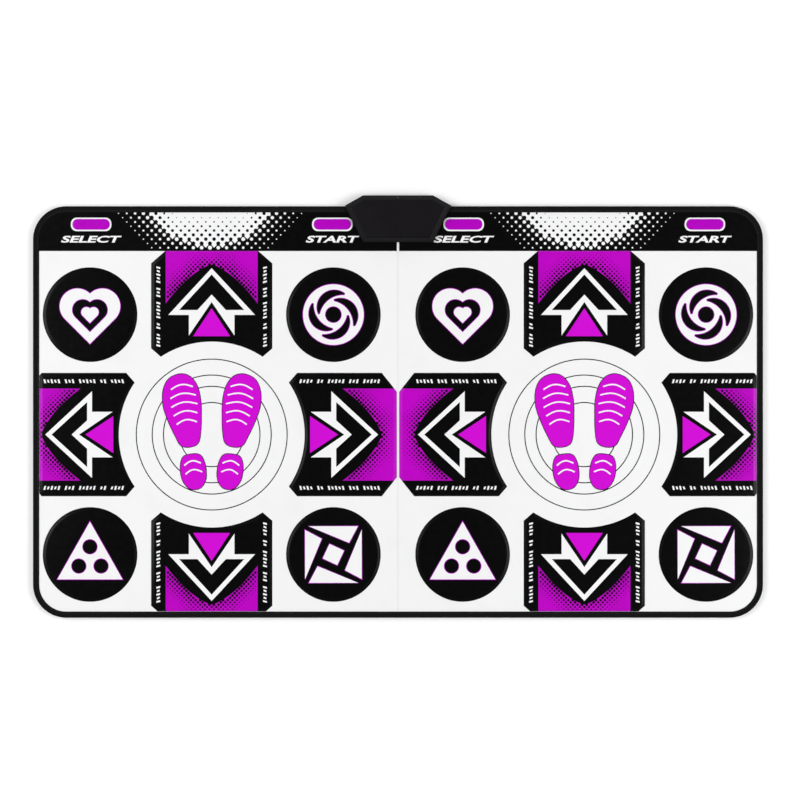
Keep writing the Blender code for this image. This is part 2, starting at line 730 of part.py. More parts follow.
def make_clamp():
    radius = CLAMP_SCREW_DIAMETER / 2 + SCREW_CLEARANCE
    holes = [circle(x, y, radius, ROUND_STEPS) for _, x, y in clamp_places()]
    outline = clamp_outline()
    bar_low = COVER_LOW
    bar_high = bar_low + CLAMP_HEIGHT
    add_object("contact_block", slab(outline, holes, SPACER_LOW, SPACER_LOW + SPACER_FOAM), WHITE_PLASTIC)
    add_object("tail_clamp_bar", slab(outline, holes, bar_low, bar_high), WHITE_PLASTIC)
    head = CLAMP_SCREW_HEAD_DIAMETER / 2
    shank = CLAMP_SCREW_DIAMETER / 2
    seat = bar_high + SHELL_GAP
    low = BOARD_LOW - CLAMP_SCREW_TAIL
    profile = [(shank, low), (shank, seat), (head, seat), (head, seat + CLAMP_SCREW_HEAD_HEIGHT)]
    for side, x, y in clamp_places():
        bm = turned(bmesh.new(), 0, 0, profile)
        add_object(f"{side}_clamp_screw", bm, STEEL, location=(x, y, 0), smooth=True)


def make_board():
    radius = SCREW_DIAMETER / 2 + SCREW_CLEARANCE
    holes = [circle(x, y, radius, ROUND_STEPS) for x, y in screw_places().values()]
    radius = CLAMP_SCREW_DIAMETER / 2 + SCREW_CLEARANCE
    holes += [circle(x, y, radius, ROUND_STEPS) for _, x, y in clamp_places()]
    add_object("circuit_board", slab(board_outline(), holes, BOARD_LOW, BOARD_HIGH), BOARD_LACQUER)


def make_electronics():
    chip_y = BOX_REAR - CHIP_FROM_REAR
    half = CHIP_SIZE / 2
    chip = block(bmesh.new(), (-half, half), (-half, half), (ON_BOARD, ON_BOARD + CHIP_HEIGHT))
    add_object("controller_chip", chip, CHIP_PLASTIC, location=(0, chip_y, 0))
    half_long, half_wide = CRYSTAL_LENGTH / 2, CRYSTAL_WIDTH / 2
    rise = (ON_BOARD, ON_BOARD + CRYSTAL_HEIGHT)
    crystal = block(bmesh.new(), (-half_wide, half_wide), (-half_long, half_long), rise)
    add_object("clock_crystal", crystal, STEEL, location=(CRYSTAL_X, chip_y, 0))
    radius = CAPACITOR_DIAMETER / 2
    can = turned(bmesh.new(), 0, 0, [(radius, ON_BOARD), (radius, ON_BOARD + CAPACITOR_HEIGHT)])
    can_place = (-CAPACITOR_X, BOX_REAR - CAPACITOR_FROM_REAR, 0)
    add_object("supply_capacitor", can, CHARCOAL_PLASTIC, location=can_place, smooth=True)


def make_status_light():
    """A lamp on the board, and the clear rod that carries its light to the sloping rear edge."""
    y = BOX_REAR - LIGHT_FROM_REAR
    lamp_high = ON_BOARD + LED_HEIGHT
    lamp = turned(bmesh.new(), 0, 0, [(LED_DIAMETER / 2, ON_BOARD), (LED_DIAMETER / 2, lamp_high)])
    add_object("status_lamp", lamp, RED_LAMP, location=(0, y, 0), smooth=True)
    slope_high = BEVEL_START + LIGHT_FROM_REAR * BOX_BEVEL_HEIGHT / BOX_BEVEL_WIDTH
    radius = LIGHT_GUIDE_DIAMETER / 2
    chamfer_low = slope_high + LIGHT_GUIDE_PROUD
    profile = [
        (radius, lamp_high + SHELL_GAP),
        (radius, chamfer_low),
        (radius - LIGHT_GUIDE_CHAMFER, chamfer_low + LIGHT_GUIDE_CHAMFER),
    ]
    rod = turned(bmesh.new(), 0, 0, profile)
    add_object("light_guide", rod, CLEAR_PLASTIC, location=(0, y, 0), smooth=True)


def make_socket():
    rear = BOX_REAR - SOCKET_SET_BACK
    half = SOCKET_WIDTH / 2
    body = block(
        bmesh.new(),
        (SOCKET_X - half, SOCKET_X + half),
        (rear - SOCKET_DEPTH, rear),
        (ON_BOARD, ON_BOARD + SOCKET_HEIGHT),
    )
    socket = add_object("lead_socket", body, STEEL)
    middle = ON_BOARD + SOCKET_HEIGHT / 2
    mouth_half = SOCKET_MOUTH_WIDTH / 2
    mouth_rise = SOCKET_MOUTH_HEIGHT / 2
    mouth = block(
        bmesh.new(),
        (SOCKET_X - mouth_half, SOCKET_X + mouth_half),
        (rear - SOCKET_MOUTH_DEPTH, rear + OVERSHOOT),
        (middle - mouth_rise, middle + mouth_rise),
    )
    combine(socket, add_tool("socket_mouth", mouth), "DIFFERENCE")
    tongue_high = middle + mouth_rise - TONGUE_DROP
    tongue = block(
        bmesh.new(),
        (SOCKET_X - TONGUE_WIDTH / 2, SOCKET_X + TONGUE_WIDTH / 2),
        (rear - SOCKET_MOUTH_DEPTH - OVERSHOOT, rear - TONGUE_SET_BACK),
        (tongue_high - TONGUE_HEIGHT, tongue_high),
    )
    combine(socket, add_tool("socket_tongue", tongue), "UNION")


def main():
    clear_scene()
    make_base_layers()
    for side, outward in SIDES:
        make_contact_layers(side, outward)
        make_pads(side, outward)
    make_cover()
    make_binding()
    make_tray()
    make_upper_shell()
    make_screws()
    make_board()
    make_clamp()
    make_electronics()
    make_status_light()
    make_socket()


main()
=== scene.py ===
"""Looks of a dance mat controller for two players, dressed round its CAD frame.

Metres, +Z up, in the frame's own axes: +X along the mat, +Y to the edge that holds the control box.
Run as a script, it makes every piece and the studio.
"""

import math

import bmesh
import bpy
import numpy as np
from bpy.props import FloatProperty, FloatVectorProperty, IntProperty, PointerProperty
from bpy.types import Operator, Panel, PropertyGroup
from mathutils import Matrix, Vector
from mathutils.geometry import delaunay_2d_cdt


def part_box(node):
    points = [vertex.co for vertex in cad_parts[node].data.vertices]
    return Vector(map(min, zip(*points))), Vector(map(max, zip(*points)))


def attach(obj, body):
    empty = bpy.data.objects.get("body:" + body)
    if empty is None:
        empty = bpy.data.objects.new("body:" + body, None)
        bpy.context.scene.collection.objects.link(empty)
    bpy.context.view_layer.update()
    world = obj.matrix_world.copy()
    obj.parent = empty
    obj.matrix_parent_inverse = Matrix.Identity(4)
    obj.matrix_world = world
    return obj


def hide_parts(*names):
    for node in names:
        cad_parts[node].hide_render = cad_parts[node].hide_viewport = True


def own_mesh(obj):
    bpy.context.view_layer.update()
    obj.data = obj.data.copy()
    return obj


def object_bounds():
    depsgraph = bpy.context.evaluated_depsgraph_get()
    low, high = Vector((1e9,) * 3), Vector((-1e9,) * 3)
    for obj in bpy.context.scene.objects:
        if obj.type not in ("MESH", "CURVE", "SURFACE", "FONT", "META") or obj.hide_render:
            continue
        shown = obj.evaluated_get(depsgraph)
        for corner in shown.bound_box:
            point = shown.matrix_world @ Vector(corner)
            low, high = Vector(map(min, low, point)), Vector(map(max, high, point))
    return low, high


bl_info = {
    "name": "Dance Mat Looks",
    "version": (1, 0, 0),
    "blender": (4, 5, 0),
    "location": "3D View > Sidebar > Dance Mat",
    "description": "Dresses the frame of a dance mat controller with its print, binding and control box",
    "category": "Object",
}

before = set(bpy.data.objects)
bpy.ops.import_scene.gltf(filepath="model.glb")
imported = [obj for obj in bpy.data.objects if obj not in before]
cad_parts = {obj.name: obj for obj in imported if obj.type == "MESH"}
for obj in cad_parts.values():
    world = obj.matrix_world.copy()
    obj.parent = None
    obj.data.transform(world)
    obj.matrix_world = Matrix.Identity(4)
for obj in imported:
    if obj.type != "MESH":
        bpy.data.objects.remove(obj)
CAD_LOW, CAD_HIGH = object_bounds()

# Two points or heights that are this near to each other are the same
MERGE_DIGITS = 5
NEAR = 0.00002
CUT_ACCURACY = 1e-7

# An arc of the CAD is a run of edges of like length that bend by angles in this range. Each of its edges
# is cut into so many parts
SLIGHTEST_BEND = math.radians(0.5)
SHARPEST_BEND = math.radians(20)
LIKE_LENGTH = 0.05
ARC_PARTS = 3

# Limits how far a sharp corner moves out where a loop is widened
LONGEST_MITRE = 3.0

QUARTER_TURNS = (0, 90, 180, 270)
SIDES = {"left": -1, "right": 1}
ARROW_TURNS = {"up": 0, "left": 90, "down": 180, "right": -90}

# Places that the frame gives
MAT_LOW, MAT_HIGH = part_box("edge_binding")
COVER_LOW, COVER_TOP = (corner.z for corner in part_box("top_cover"))
BOX_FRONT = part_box("box_upper_shell")[0].y
BAND_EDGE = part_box("left_up_arrow_pad")[1].y
PAD_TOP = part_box("left_rear_left_disc_pad")[1].z


class InkColours(PropertyGroup):
    """Colours of the vinyl and its inks."""

    white: FloatVectorProperty(
        name="White", description="Bare vinyl of the cover", subtype="COLOR",
        default=(0.90, 0.90, 0.905), min=0, max=1,
    )
    black: FloatVectorProperty(
        name="Black", description="Black ink", subtype="COLOR", default=(0.0014, 0.0014, 0.0016), min=0, max=1
    )
    magenta: FloatVectorProperty(
        name="Magenta", description="Ink of the arrow fields", subtype="COLOR",
        default=(0.515, 0.0015, 0.555), min=0, max=1,
    )
    magenta_shade: FloatVectorProperty(
        name="Magenta shade", description="The arrow fields towards the arrow", subtype="COLOR",
        default=(0.40, 0.0015, 0.435), min=0, max=1,
    )
    bright: FloatVectorProperty(
        name="Bright magenta", description="Ink of the small triangles and the footprints", subtype="COLOR",
        default=(0.63, 0.004, 0.66), min=0, max=1,
    )
    purple: FloatVectorProperty(
        name="Purple", description="Ink of the buttons and of the motifs' edges", subtype="COLOR",
        default=(0.45, 0.001, 0.52), min=0, max=1,
    )
    backing: FloatVectorProperty(
        name="Backing", description="Cloth on the underside of the vinyl", subtype="COLOR",
        default=(0.42, 0.42, 0.41), min=0, max=1,
    )


class PrintSizes(PropertyGroup):
    """Sizes of the print."""

    fine_line: FloatProperty(
        name="Fine line", description="Width of the thin black circles", unit="LENGTH",
        default=0.0024, min=0.0005,
    )
    motif_edge: FloatProperty(
        name="Motif edge", description="Width of the coloured edge round each white motif", unit="LENGTH",
        default=0.0014, min=0.0002,
    )
    button_line: FloatProperty(
        name="Button line", description="Width of the white line round each button", unit="LENGTH",
        default=0.0031, min=0.001,
    )
    centre_line: FloatProperty(
        name="Centre line", description="White gap between the halves", unit="LENGTH",
        default=0.005, min=0.001,
    )
    band_dot_pitch: FloatProperty(
        name="Band dot pitch", description="Spacing of the dots along a row of the band", unit="LENGTH",
        default=0.0188, min=0.005,
    )
    band_row_pitch: FloatProperty(
        name="Band row pitch", description="Spacing of the rows of dots in the band", unit="LENGTH",
        default=0.0097, min=0.003,
    )
    field_dot_pitch: FloatProperty(
        name="Field dot pitch", description="Spacing of the dots along a row of an arrow field",
        unit="LENGTH", default=0.0104, min=0.004,
    )
    field_dot_radius: FloatProperty(
        name="Field dot radius", description="Largest dot of an arrow field", unit="LENGTH",
        default=0.0036, min=0.0005,
    )
    field_fade: FloatProperty(
        name="Field fade", description="How far from the arrow the dots reach", unit="LENGTH",
        default=0.050, min=0.005,
    )


class SewingSizes(PropertyGroup):
    """Sizes of the binding tape and of the stitches."""

    stitch_length: FloatProperty(
        name="Stitch length", description="Length of one stitch", unit="LENGTH", default=0.0034, min=0.001
    )
    stitch_pitch: FloatProperty(
        name="Stitch pitch", description="Distance from stitch to stitch", unit="LENGTH",
        default=0.0043, min=0.001,
    )
    thread_radius: FloatProperty(
        name="Thread radius", description="Radius of the sewing thread", unit="LENGTH",
        default=0.00032, min=0.0001,
    )
    fold_radius: FloatProperty(
        name="Fold radius", description="Rounding of the folded tape", unit="LENGTH",
        default=0.0018, min=0.0005,
    )
    rib_pitch: FloatProperty(
        name="Rib pitch", description="Spacing of the ribs woven into the tape", unit="LENGTH",
        default=0.0011, min=0.0003,
    )
    crease_depth: FloatProperty(
        name="Crease depth", description="Depth of the crease between the halves", unit="LENGTH",
        default=0.0004, min=0.0,
    )


class BoxSizes(PropertyGroup):
    """Sizes of the control box's finish."""

    edge_radius: FloatProperty(
        name="Edge radius", description="Rounding of the moulded edges", unit="LENGTH",
        default=0.0007, min=0.0001,
    )
    edge_steps: IntProperty(name="Edge steps", description="Faces in each rounded edge", default=3, min=1)
    plastic: FloatVectorProperty(
        name="Plastic", description="Colour of the box", subtype="COLOR",
        default=(0.0066, 0.0056, 0.0070), min=0, max=1,
    )
    grain: FloatProperty(
        name="Grain", description="Depth of the moulded grain", unit="LENGTH",
        default=0.000012, min=0.0, precision=6,
    )


class StudioSizes(PropertyGroup):
    """The floor, the lamps and the camera."""

    view_width: FloatProperty(
        name="View width", description="What the camera sees across", unit="LENGTH", default=1.808, min=0.5
    )
    lens: FloatProperty(
        name="Lens", description="Focal length of the camera in mm", default=110.0, min=20.0
    )
    lamp_power: FloatProperty(
        name="Lamp power", description="Power of each large lamp in watts", default=105.0, min=0.0
    )
    sky: FloatProperty(
        name="Sky", description="Strength of the world's light", default=0.50, min=0.0
    )


class DanceMatSettings(PropertyGroup):
    """Everything that a user would change."""

    inks: PointerProperty(type=InkColours)
    print_sizes: PointerProperty(type=PrintSizes)
    sewing: PointerProperty(type=SewingSizes)
    control_box: PointerProperty(type=BoxSizes)
    studio: PointerProperty(type=StudioSizes)


# Flat shapes


def polar(radius, degrees):
    return radius * math.cos(math.radians(degrees)), radius * math.sin(math.radians(degrees))


def arc(centre_x, centre_y, radius, start, end, steps):
    """Points on an arc, with the angles in degrees and both ends included."""
    points = []
    for i in range(steps + 1):
        x, y = polar(radius, start + (end - start) * i / steps)
        points.append((centre_x + x, centre_y + y))
    return points


def circle(centre_x, centre_y, radius, steps):
    return arc(centre_x, centre_y, radius, 0, 360, steps)[:-1]


def rectangle(low_x, low_y, high_x, high_y):
    return [(low_x, low_y), (high_x, low_y), (high_x, high_y), (low_x, high_y)]


def mirrored(points):
    return [(-x, y) for x, y in reversed(points)]


def placed(loop, centre, degrees=0.0):
    """A loop turned about the origin and moved to a centre."""
    c, s = polar(1, degrees)
    return [(centre[0] + c * x - s * y, centre[1] + s * x + c * y) for x, y in loop]


def area(loop):
    """The area inside a loop, negative for a clockwise one."""
    pairs = zip(loop, loop[1:] + loop[:1])
    return sum(x0 * y1 - x1 * y0 for (x0, y0), (x1, y1) in pairs) / 2


def outset(loop, distance):
    """A counterclockwise loop moved outwards, with a limit on how far a sharp corner reaches."""
    moved = []
    for i, (x, y) in enumerate(loop):
        before = Vector((x, y)) - Vector(loop[i - 1])
        after = Vector(loop[(i + 1) % len(loop)]) - Vector((x, y))
        first = Vector((before.y, -before.x)).normalized()
        second = Vector((after.y, -after.x)).normalized()
        share = (first + second) / max(1 + first.dot(second), 1 / LONGEST_MITRE)
        moved.append((x + share.x * distance, y + share.y * distance))
    return moved


def smooth_loop(points, steps):
    """A closed Catmull-Rom curve through a few points."""
    loop = []
    count = len(points)
    for i in range(count):
        a, b, c, d = (Vector(points[(i + k) % count]) for k in (-1, 0, 1, 2))
        for step in range(steps):
            t = step / steps
            bend, swing = 2 * a - 5 * b + 4 * c - d, 3 * b - a - 3 * c + d
            point = (2 * b + (c - a) * t + bend * t**2 + swing * t**3) / 2
            loop.append((point.x, point.y))
    return loop


def loops_of(mesh, height):
    """Edges of a mesh's flat faces at one height: counterclockwise outside, clockwise round holes."""
    edges = set()
    for polygon in mesh.polygons:
        corners = [mesh.vertices[i].co for i in polygon.vertices]
        if any(abs(corner.z - height) > NEAR for corner in corners):
            continue
        keys = [(round(corner.x, MERGE_DIGITS), round(corner.y, MERGE_DIGITS)) for corner in corners]
        if polygon.normal.z < 0:
            keys.reverse()
        for edge in zip(keys, keys[1:] + keys[:1]):
            if edge[::-1] in edges:
                edges.remove(edge[::-1])
            elif edge[0] != edge[1]:
                edges.add(edge)
    after = dict(edges)
    loops = []
    while after:
        start, point = after.popitem()
        loop = [start]
        while point != start:
            loop.append(point)
            point = after.pop(point)
        loops.append(loop)
    return sorted(loops, key=area, reverse=True)


def node_loops(node, height):
    return loops_of(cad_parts[node].data, height)


def finer(loop):
    """The same loop with its arcs cut finer: they are where like edges meet at a slight bend."""
    count = len(loop)
    steps = [Vector(loop[(i + 1) % count]) - Vector(loop[i]) for i in range(count)]
    turns = [steps[i - 1].angle_signed(steps[i]) for i in range(count)]
    result = []
    for i, step in enumerate(steps):
        result.append(loop[i])
        after = (i + 1) % count
        bend = 0.0
        for turn, other in ((turns[i], steps[i - 1]), (turns[after], steps[after])):
            alike = abs(other.length / step.length - 1) < LIKE_LENGTH
            if alike and SLIGHTEST_BEND < abs(turn) < SHARPEST_BEND:
                bend = -turn
        if not bend:
            continue
        radius = step.length / 2 / math.sin(bend / 2)
        outward = Vector((step.y, -step.x)).normalized()
        for part in range(1, ARC_PARTS):
            swept = bend * (part / ARC_PARTS - 0.5)
            along = 0.5 + math.sin(swept) / math.sin(bend / 2) / 2
            rise = radius * (math.cos(swept) - math.cos(bend / 2))
            point = Vector(loop[i]) + step * along + outward * rise
            result.append((point.x, point.y))
    return result


def distance_to(loop, points):
    """How far each point is from the nearest edge of a loop."""
    points = np.array(points, float)
    nearest = np.full(len(points), np.inf)
    for a, b in zip(loop, loop[1:] + loop[:1]):
        a, along = np.array(a), np.array(b) - np.array(a)
        share = np.clip(((points - a) @ along) / max(along @ along, 1e-12), 0, 1)
        gap = np.linalg.norm(points - a - share[:, None] * along, axis=1)
        nearest = np.minimum(nearest, gap)
    return nearest


def eased(share):
    """A rise from 0 to 1 that starts and ends level."""
    share = np.clip(share, 0, 1)
    return share * share * (3 - 2 * share)


def box_middle(node):
    low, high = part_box(node)
    return (low + high) / 2


# Surfaces

ACRYLIC_IOR = 1.49


class Surface:
    """A Principled material under construction, with short calls for the nodes that feed it.

    An input is a number, a vector, a colour's red, green and blue, or the socket that feeds it.
    """

    def __init__(self, name, roughness, specular=0.5, metallic=0.0, sheen=0.0):
        self.material = bpy.data.materials.new(name)
        self.material.use_nodes = True
        self.tree = self.material.node_tree
        self.shader = self.tree.nodes["Principled BSDF"]
        self.shader.inputs["Roughness"].default_value = roughness
        self.shader.inputs["Specular IOR Level"].default_value = specular
        self.shader.inputs["Metallic"].default_value = metallic
        self.shader.inputs["Sheen Weight"].default_value = sheen
        self.place = self.node("TexCoord", {}).outputs["Object"]

    def feed(self, socket, value):
        if isinstance(value, bpy.types.NodeSocket):
            self.tree.links.new(value, socket)
        elif socket.type == "RGBA":
            socket.default_value = (*value, 1.0)
        else:
            socket.default_value = value

    def node(self, kind, inputs, **settings):
        item = self.tree.nodes.new("ShaderNode" + kind)
        for name, value in settings.items():
            setattr(item, name, value)
        for name, value in inputs.items():
            self.feed(item.inputs[name], value)
        return item

    def math(self, operation, *values):
        return self.node("Math", dict(enumerate(values)), operation=operation).outputs[0]

    def vector(self, operation, *values):
        return self.node("VectorMath", dict(enumerate(values)), operation=operation).outputs

    def attribute(self, name):
        """The numbers that the mesh keeps at its corners under a name."""
        return self.node("Attribute", {}, attribute_name=name).outputs["Fac"]

    def axes(self):
        """The place along the mat and the place across it."""
        return self.node("SeparateXYZ", {"Vector": self.place}).outputs[:2]

    def noise(self, lump, detail=3.0, stretch=(1, 1, 1)):
        """Noise from 0 to 1 whose lumps are about so many metres across."""
        scaled = self.vector("MULTIPLY", self.place, stretch)["Vector"]
        return self.node("TexNoise", {"Vector": scaled, "Scale": 1 / lump, "Detail": detail}).outputs[0]

    def ranged(self, value, low, high, to_low=0.0, to_high=1.0):
        """A value brought from one range to another, with a level start and end."""
        inputs = {"Value": value, "From Min": low, "From Max": high, "To Min": to_low, "To Max": to_high}
        return self.node("MapRange", inputs, interpolation_type="SMOOTHSTEP").outputs["Result"]

    def mixed(self, factor, first, second):
        return self.node("Mix", {0: factor, 6: first, 7: second}, data_type="RGBA").outputs[2]

    def wave(self, value, pitch):
        """A ripple from -1 to 1."""
        return self.math("SINE", self.math("MULTIPLY", value, 2 * math.pi / pitch))

    def weave(self, thread):
        """Plain weave from -1 to 1, with threads along both axes of the mat."""
        warp, weft = (self.wave(axis, thread) for axis in self.axes())
        return self.math("MULTIPLY", warp, weft)

    def lines(self, value, pitch, core, edge):
        """1 on lines a pitch apart, and 0 beyond their edges. Both half widths are shares of the pitch."""
        part = self.math("FRACT", self.math("DIVIDE", value, pitch))
        away = self.math("ABSOLUTE", self.math("SUBTRACT", part, 0.5))
        return self.ranged(away, core, edge, 1.0, 0.0)

    def dots(self, pitch, radius, soft):
        """1 on round dots in square rows, and 0 between them."""
        cell = self.vector("MULTIPLY", self.place, (1 / pitch, 1 / pitch, 0))["Vector"]
        part = self.vector("FRACTION", cell)["Vector"]
        middle = self.vector("SUBTRACT", part, (0.5, 0.5, 0))["Vector"]
        away = self.vector("LENGTH", middle)["Value"]
        return self.ranged(away, (radius - soft) / pitch, (radius + soft) / pitch, 1.0, 0.0)

    def colour(self, value):
        self.feed(self.shader.inputs["Base Color"], value)

    def roughness(self, value):
        self.feed(self.shader.inputs["Roughness"], value)

    def relief(self, *layers):
        """Bump from (pattern, depth) pairs, added up. The depths are in metres."""
        total = 0.0
        for pattern, depth in layers:
            total = self.math("MULTIPLY_ADD", pattern, depth, total)
        bump = self.node("Bump", {"Height": total, "Distance": 1.0, "Strength": 1.0})
        self.feed(self.shader.inputs["Normal"], bump.outputs["Normal"])


def darker(colour, share):
    return tuple(value * share for value in colour)


def vinyl(name, colour, shade=None):
    """Soft printed vinyl: satin, finely grained, and never quite flat over its foam.

    A shade is what the colour falls to where the mesh's tone is 0.
    """
    surface = Surface(name, roughness=0.32, specular=0.11)
    base = surface.mixed(surface.attribute("tone"), shade, colour) if shade else colour
    cloudy = surface.ranged(surface.noise(lump=0.09, detail=4.0), 0.42, 0.75, 0.0, 0.35)
    surface.colour(surface.mixed(cloudy, base, darker(shade or colour, 0.93)))
    surface.roughness(surface.ranged(surface.noise(lump=0.012), 0.3, 0.7, 0.28, 0.36))
    grain = surface.noise(lump=0.0011, detail=2.0)
    ripple = surface.noise(lump=0.10, detail=2.0)
    surface.relief((grain, 0.00004), (ripple, 0.0009))
    return surface.material


def woven_cloth(name, colour, thread, depth):
    """Plain weave, with painted shade in its hollows."""
    surface = Surface(name, roughness=0.9, specular=0.15, sheen=0.25)
    weave = surface.weave(thread)
    surface.colour(surface.mixed(surface.ranged(weave, -1, 1), darker(colour, 0.72), colour))
    surface.relief((weave, depth))
    return surface.material


INK_MATERIALS = {
    "white": "white_vinyl", "black": "black_print", "magenta": "magenta_print",
    "bright": "bright_magenta_print", "purple": "purple_print", "backing": "vinyl_backing",
}


def ink_material(ink):
    """The material of an ink or of the backing, made once and shared by every printed piece."""
    name = INK_MATERIALS[ink]
    if name in bpy.data.materials:
        return bpy.data.materials[name]
    inks = bpy.context.scene.dance_mat.inks
    colour = tuple(getattr(inks, ink))
    if ink == "backing":
        return woven_cloth(name, colour, thread=0.0008, depth=0.00005)
    return vinyl(name, colour, tuple(inks.magenta_shade) if ink == "magenta" else None)


def binding_cloth(rib_pitch):
    """Ribbed black tape. The ribs run across it, all the way round."""
    surface = Surface("binding_tape", roughness=0.78, specular=0.1, sheen=0.04)
    rib = surface.wave(surface.attribute("along"), rib_pitch)
    fuzz = surface.noise(lump=0.0006)
    # Painted shade: the tape is lighter on its rib crests and its fuzz, and darker in the hollows between
    # them
    rib_shade_and_fuzz = surface.ranged(surface.math("ADD", rib, fuzz), -0.6, 1.8)
    surface.colour(surface.mixed(rib_shade_and_fuzz, (0.0012, 0.0012, 0.0013), (0.0052, 0.0052, 0.0056)))
    surface.relief((rib, 0.00006), (fuzz, 0.00004))
    return surface.material


def spun_thread(name, colour):
    """Sewing thread, twisted from finer ones."""
    surface = Surface(name, roughness=0.6, specular=0.3, sheen=0.2)
    twist = surface.noise(lump=0.0004, detail=2.0)
    # Painted shade: the thread is darker where its twist sinks
    surface.colour(surface.mixed(twist, darker(colour, 0.7), colour))
    surface.relief((twist, 0.00004))
    return surface.material


def anti_slip_cloth():
    """Dark cloth with rubber dots, which grip the floor."""
    surface = Surface("anti_slip_cloth", roughness=0.85, specular=0.25)
    weave = surface.weave(thread=0.0011)
    dots = surface.dots(pitch=0.008, radius=0.0016, soft=0.0003)
    # Painted shade: the weave is darker in its hollows
    cloth = surface.mixed(surface.ranged(weave, -1, 1), (0.018, 0.019, 0.022), (0.034, 0.035, 0.040))
    surface.colour(surface.mixed(dots, cloth, (0.075, 0.077, 0.082)))
    surface.roughness(surface.math("MULTIPLY_ADD", dots, -0.3, 0.88))
    surface.relief((weave, 0.00005), (dots, 0.0004))
    return surface.material


def foam(name, colour, cell):
    """Closed-cell foam."""
    surface = Surface(name, roughness=0.95, specular=0.1)
    cells = surface.node("TexVoronoi", {"Vector": surface.place, "Scale": 1 / cell}).outputs["Distance"]
    cloudy = surface.noise(lump=0.03)
    tone = surface.math("MULTIPLY_ADD", cloudy, 0.4, surface.math("MULTIPLY", cells, 0.5))
    surface.colour(surface.mixed(tone, colour, darker(colour, 0.75)))
    surface.relief((cells, 0.0002))
    return surface.material


def contact_film():
    """Clear film with a printed grid of silver conductors."""
    surface = Surface("contact_film", roughness=0.28)
    pitch, line = 0.012, 0.0016
    tracks = [surface.lines(axis, pitch, line / pitch / 2, line / pitch) for axis in surface.axes()]
    track = surface.math("MAXIMUM", *tracks)
    surface.colour(surface.mixed(track, (0.50, 0.53, 0.55), (0.20, 0.20, 0.21)))
    surface.roughness(surface.math("MULTIPLY_ADD", track, 0.3, 0.22))
    surface.relief((track, 0.00003))
    return surface.material


def moulded_plastic(name, colour, grain):
    """Plastic with a fine moulded grain, never quite even."""
    surface = Surface(name, roughness=0.5, specular=0.11)
    fine = surface.noise(lump=0.0005, detail=2.0)
    broad = surface.noise(lump=0.02)
    surface.colour(surface.mixed(surface.ranged(broad, 0.35, 0.7), colour, darker(colour, 0.82)))
    surface.roughness(surface.ranged(fine, 0.3, 0.7, 0.42, 0.56))
    surface.relief((fine, grain), (broad, 0.00004))
    return surface.material


def plated_metal(name, colour, roughness):
    """Metal plate with fine scratches along one axis."""
    surface = Surface(name, roughness=roughness, metallic=1.0)
    scratches = surface.noise(lump=0.0012, stretch=(1, 9, 1))
    surface.colour(surface.mixed(scratches, colour, darker(colour, 0.8)))
    surface.roughness(surface.ranged(scratches, 0.3, 0.7, roughness * 0.8, roughness * 1.35))
    surface.relief((scratches, 0.000006))
    return surface.material


def solder_mask():
    """Green lacquer with copper tracks that show through it. They bend, and some places have none."""
    surface = Surface("solder_mask", roughness=0.35)
    x, y = surface.axes()
    bend = surface.math("PINGPONG", surface.math("ADD", y, 1.0), 0.012)
    shifted = surface.math("ADD", surface.math("MINIMUM", bend, 0.004), x)
    lines = surface.lines(shifted, pitch=0.0013, core=0.12, edge=0.17)
    filled = surface.ranged(surface.noise(lump=0.014, detail=1.0), 0.46, 0.50)
    track = surface.math("MULTIPLY", filled, lines)
    surface.colour(surface.mixed(track, (0.006, 0.075, 0.030), (0.014, 0.15, 0.060)))
    surface.relief((track, 0.00003))
    return surface.material


def clear_resin(name, colour, roughness):
    """Clear or tinted resin that lets the light through."""
    surface = Surface(name, roughness=roughness)
    surface.shader.inputs["Transmission Weight"].default_value = 0.85
    surface.shader.inputs["IOR"].default_value = ACRYLIC_IOR
    cloudy = surface.noise(lump=0.002, detail=2.0)
    surface.colour(surface.mixed(cloudy, colour, darker(colour, 0.92)))
    surface.relief((cloudy, 0.00001))
    return surface.material


# Meshes


def new_object(name, mesh, materials, body):
    item = bpy.data.objects.new(name, mesh)
    for material in materials:
        mesh.materials.append(material)
    bpy.context.scene.collection.objects.link(item)
    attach(item, body)
    return item


def soften(mesh, degrees=30):
    """Smooth shading over every edge that bends less than an angle."""
    mesh.shade_smooth()
    mesh.set_sharp_from_angle(angle=math.radians(degrees))


def keep_values(mesh, name, values):
    """Keeps a number at each corner of a mesh, for its material."""
    layer = mesh.attributes.new(name, "FLOAT", "POINT")
    layer.data.foreach_set("value", values.astype(np.float32))


def cut_plan(shapes, guides=()):
    """Cuts a flat shape along its print, into corners, triangles and the ink of each triangle.

    The shapes are (ink, loop) pairs, each laid over the ones before it. The first one is the outline,
    and an ink of None cuts a hole. The guides are (points, closed) pairs that only carry the relief.
    """
    points, faces, edges = [], [], []
    for _, loop in shapes:
        loop = loop if area(loop) > 0 else loop[::-1]
        faces.append(list(range(len(points), len(points) + len(loop))))
        points += [Vector(point) for point in loop]
    for loop, closed in guides:
        start, count = len(points), len(loop)
        points += [Vector(point) for point in loop]
        edges += [(start + i, start + (i + 1) % count) for i in range(count if closed else count - 1)]
    flat, _, triangles, _, _, owners = delaunay_2d_cdt(points, edges, faces, 1, CUT_ACCURACY)
    kept, inks = [], []
    for triangle, owner in zip(triangles, owners):
        ink = shapes[max(owner)][0] if owner and min(owner) == 0 else None
        if ink:
            kept.append(tuple(triangle))
            inks.append(ink)
    used = sorted({i for triangle in kept for i in triangle})
    order = {old: new for new, old in enumerate(used)}
    kept = [tuple(order[i] for i in triangle) for triangle in kept]
    return np.array([flat[i] for i in used], float), kept, inks


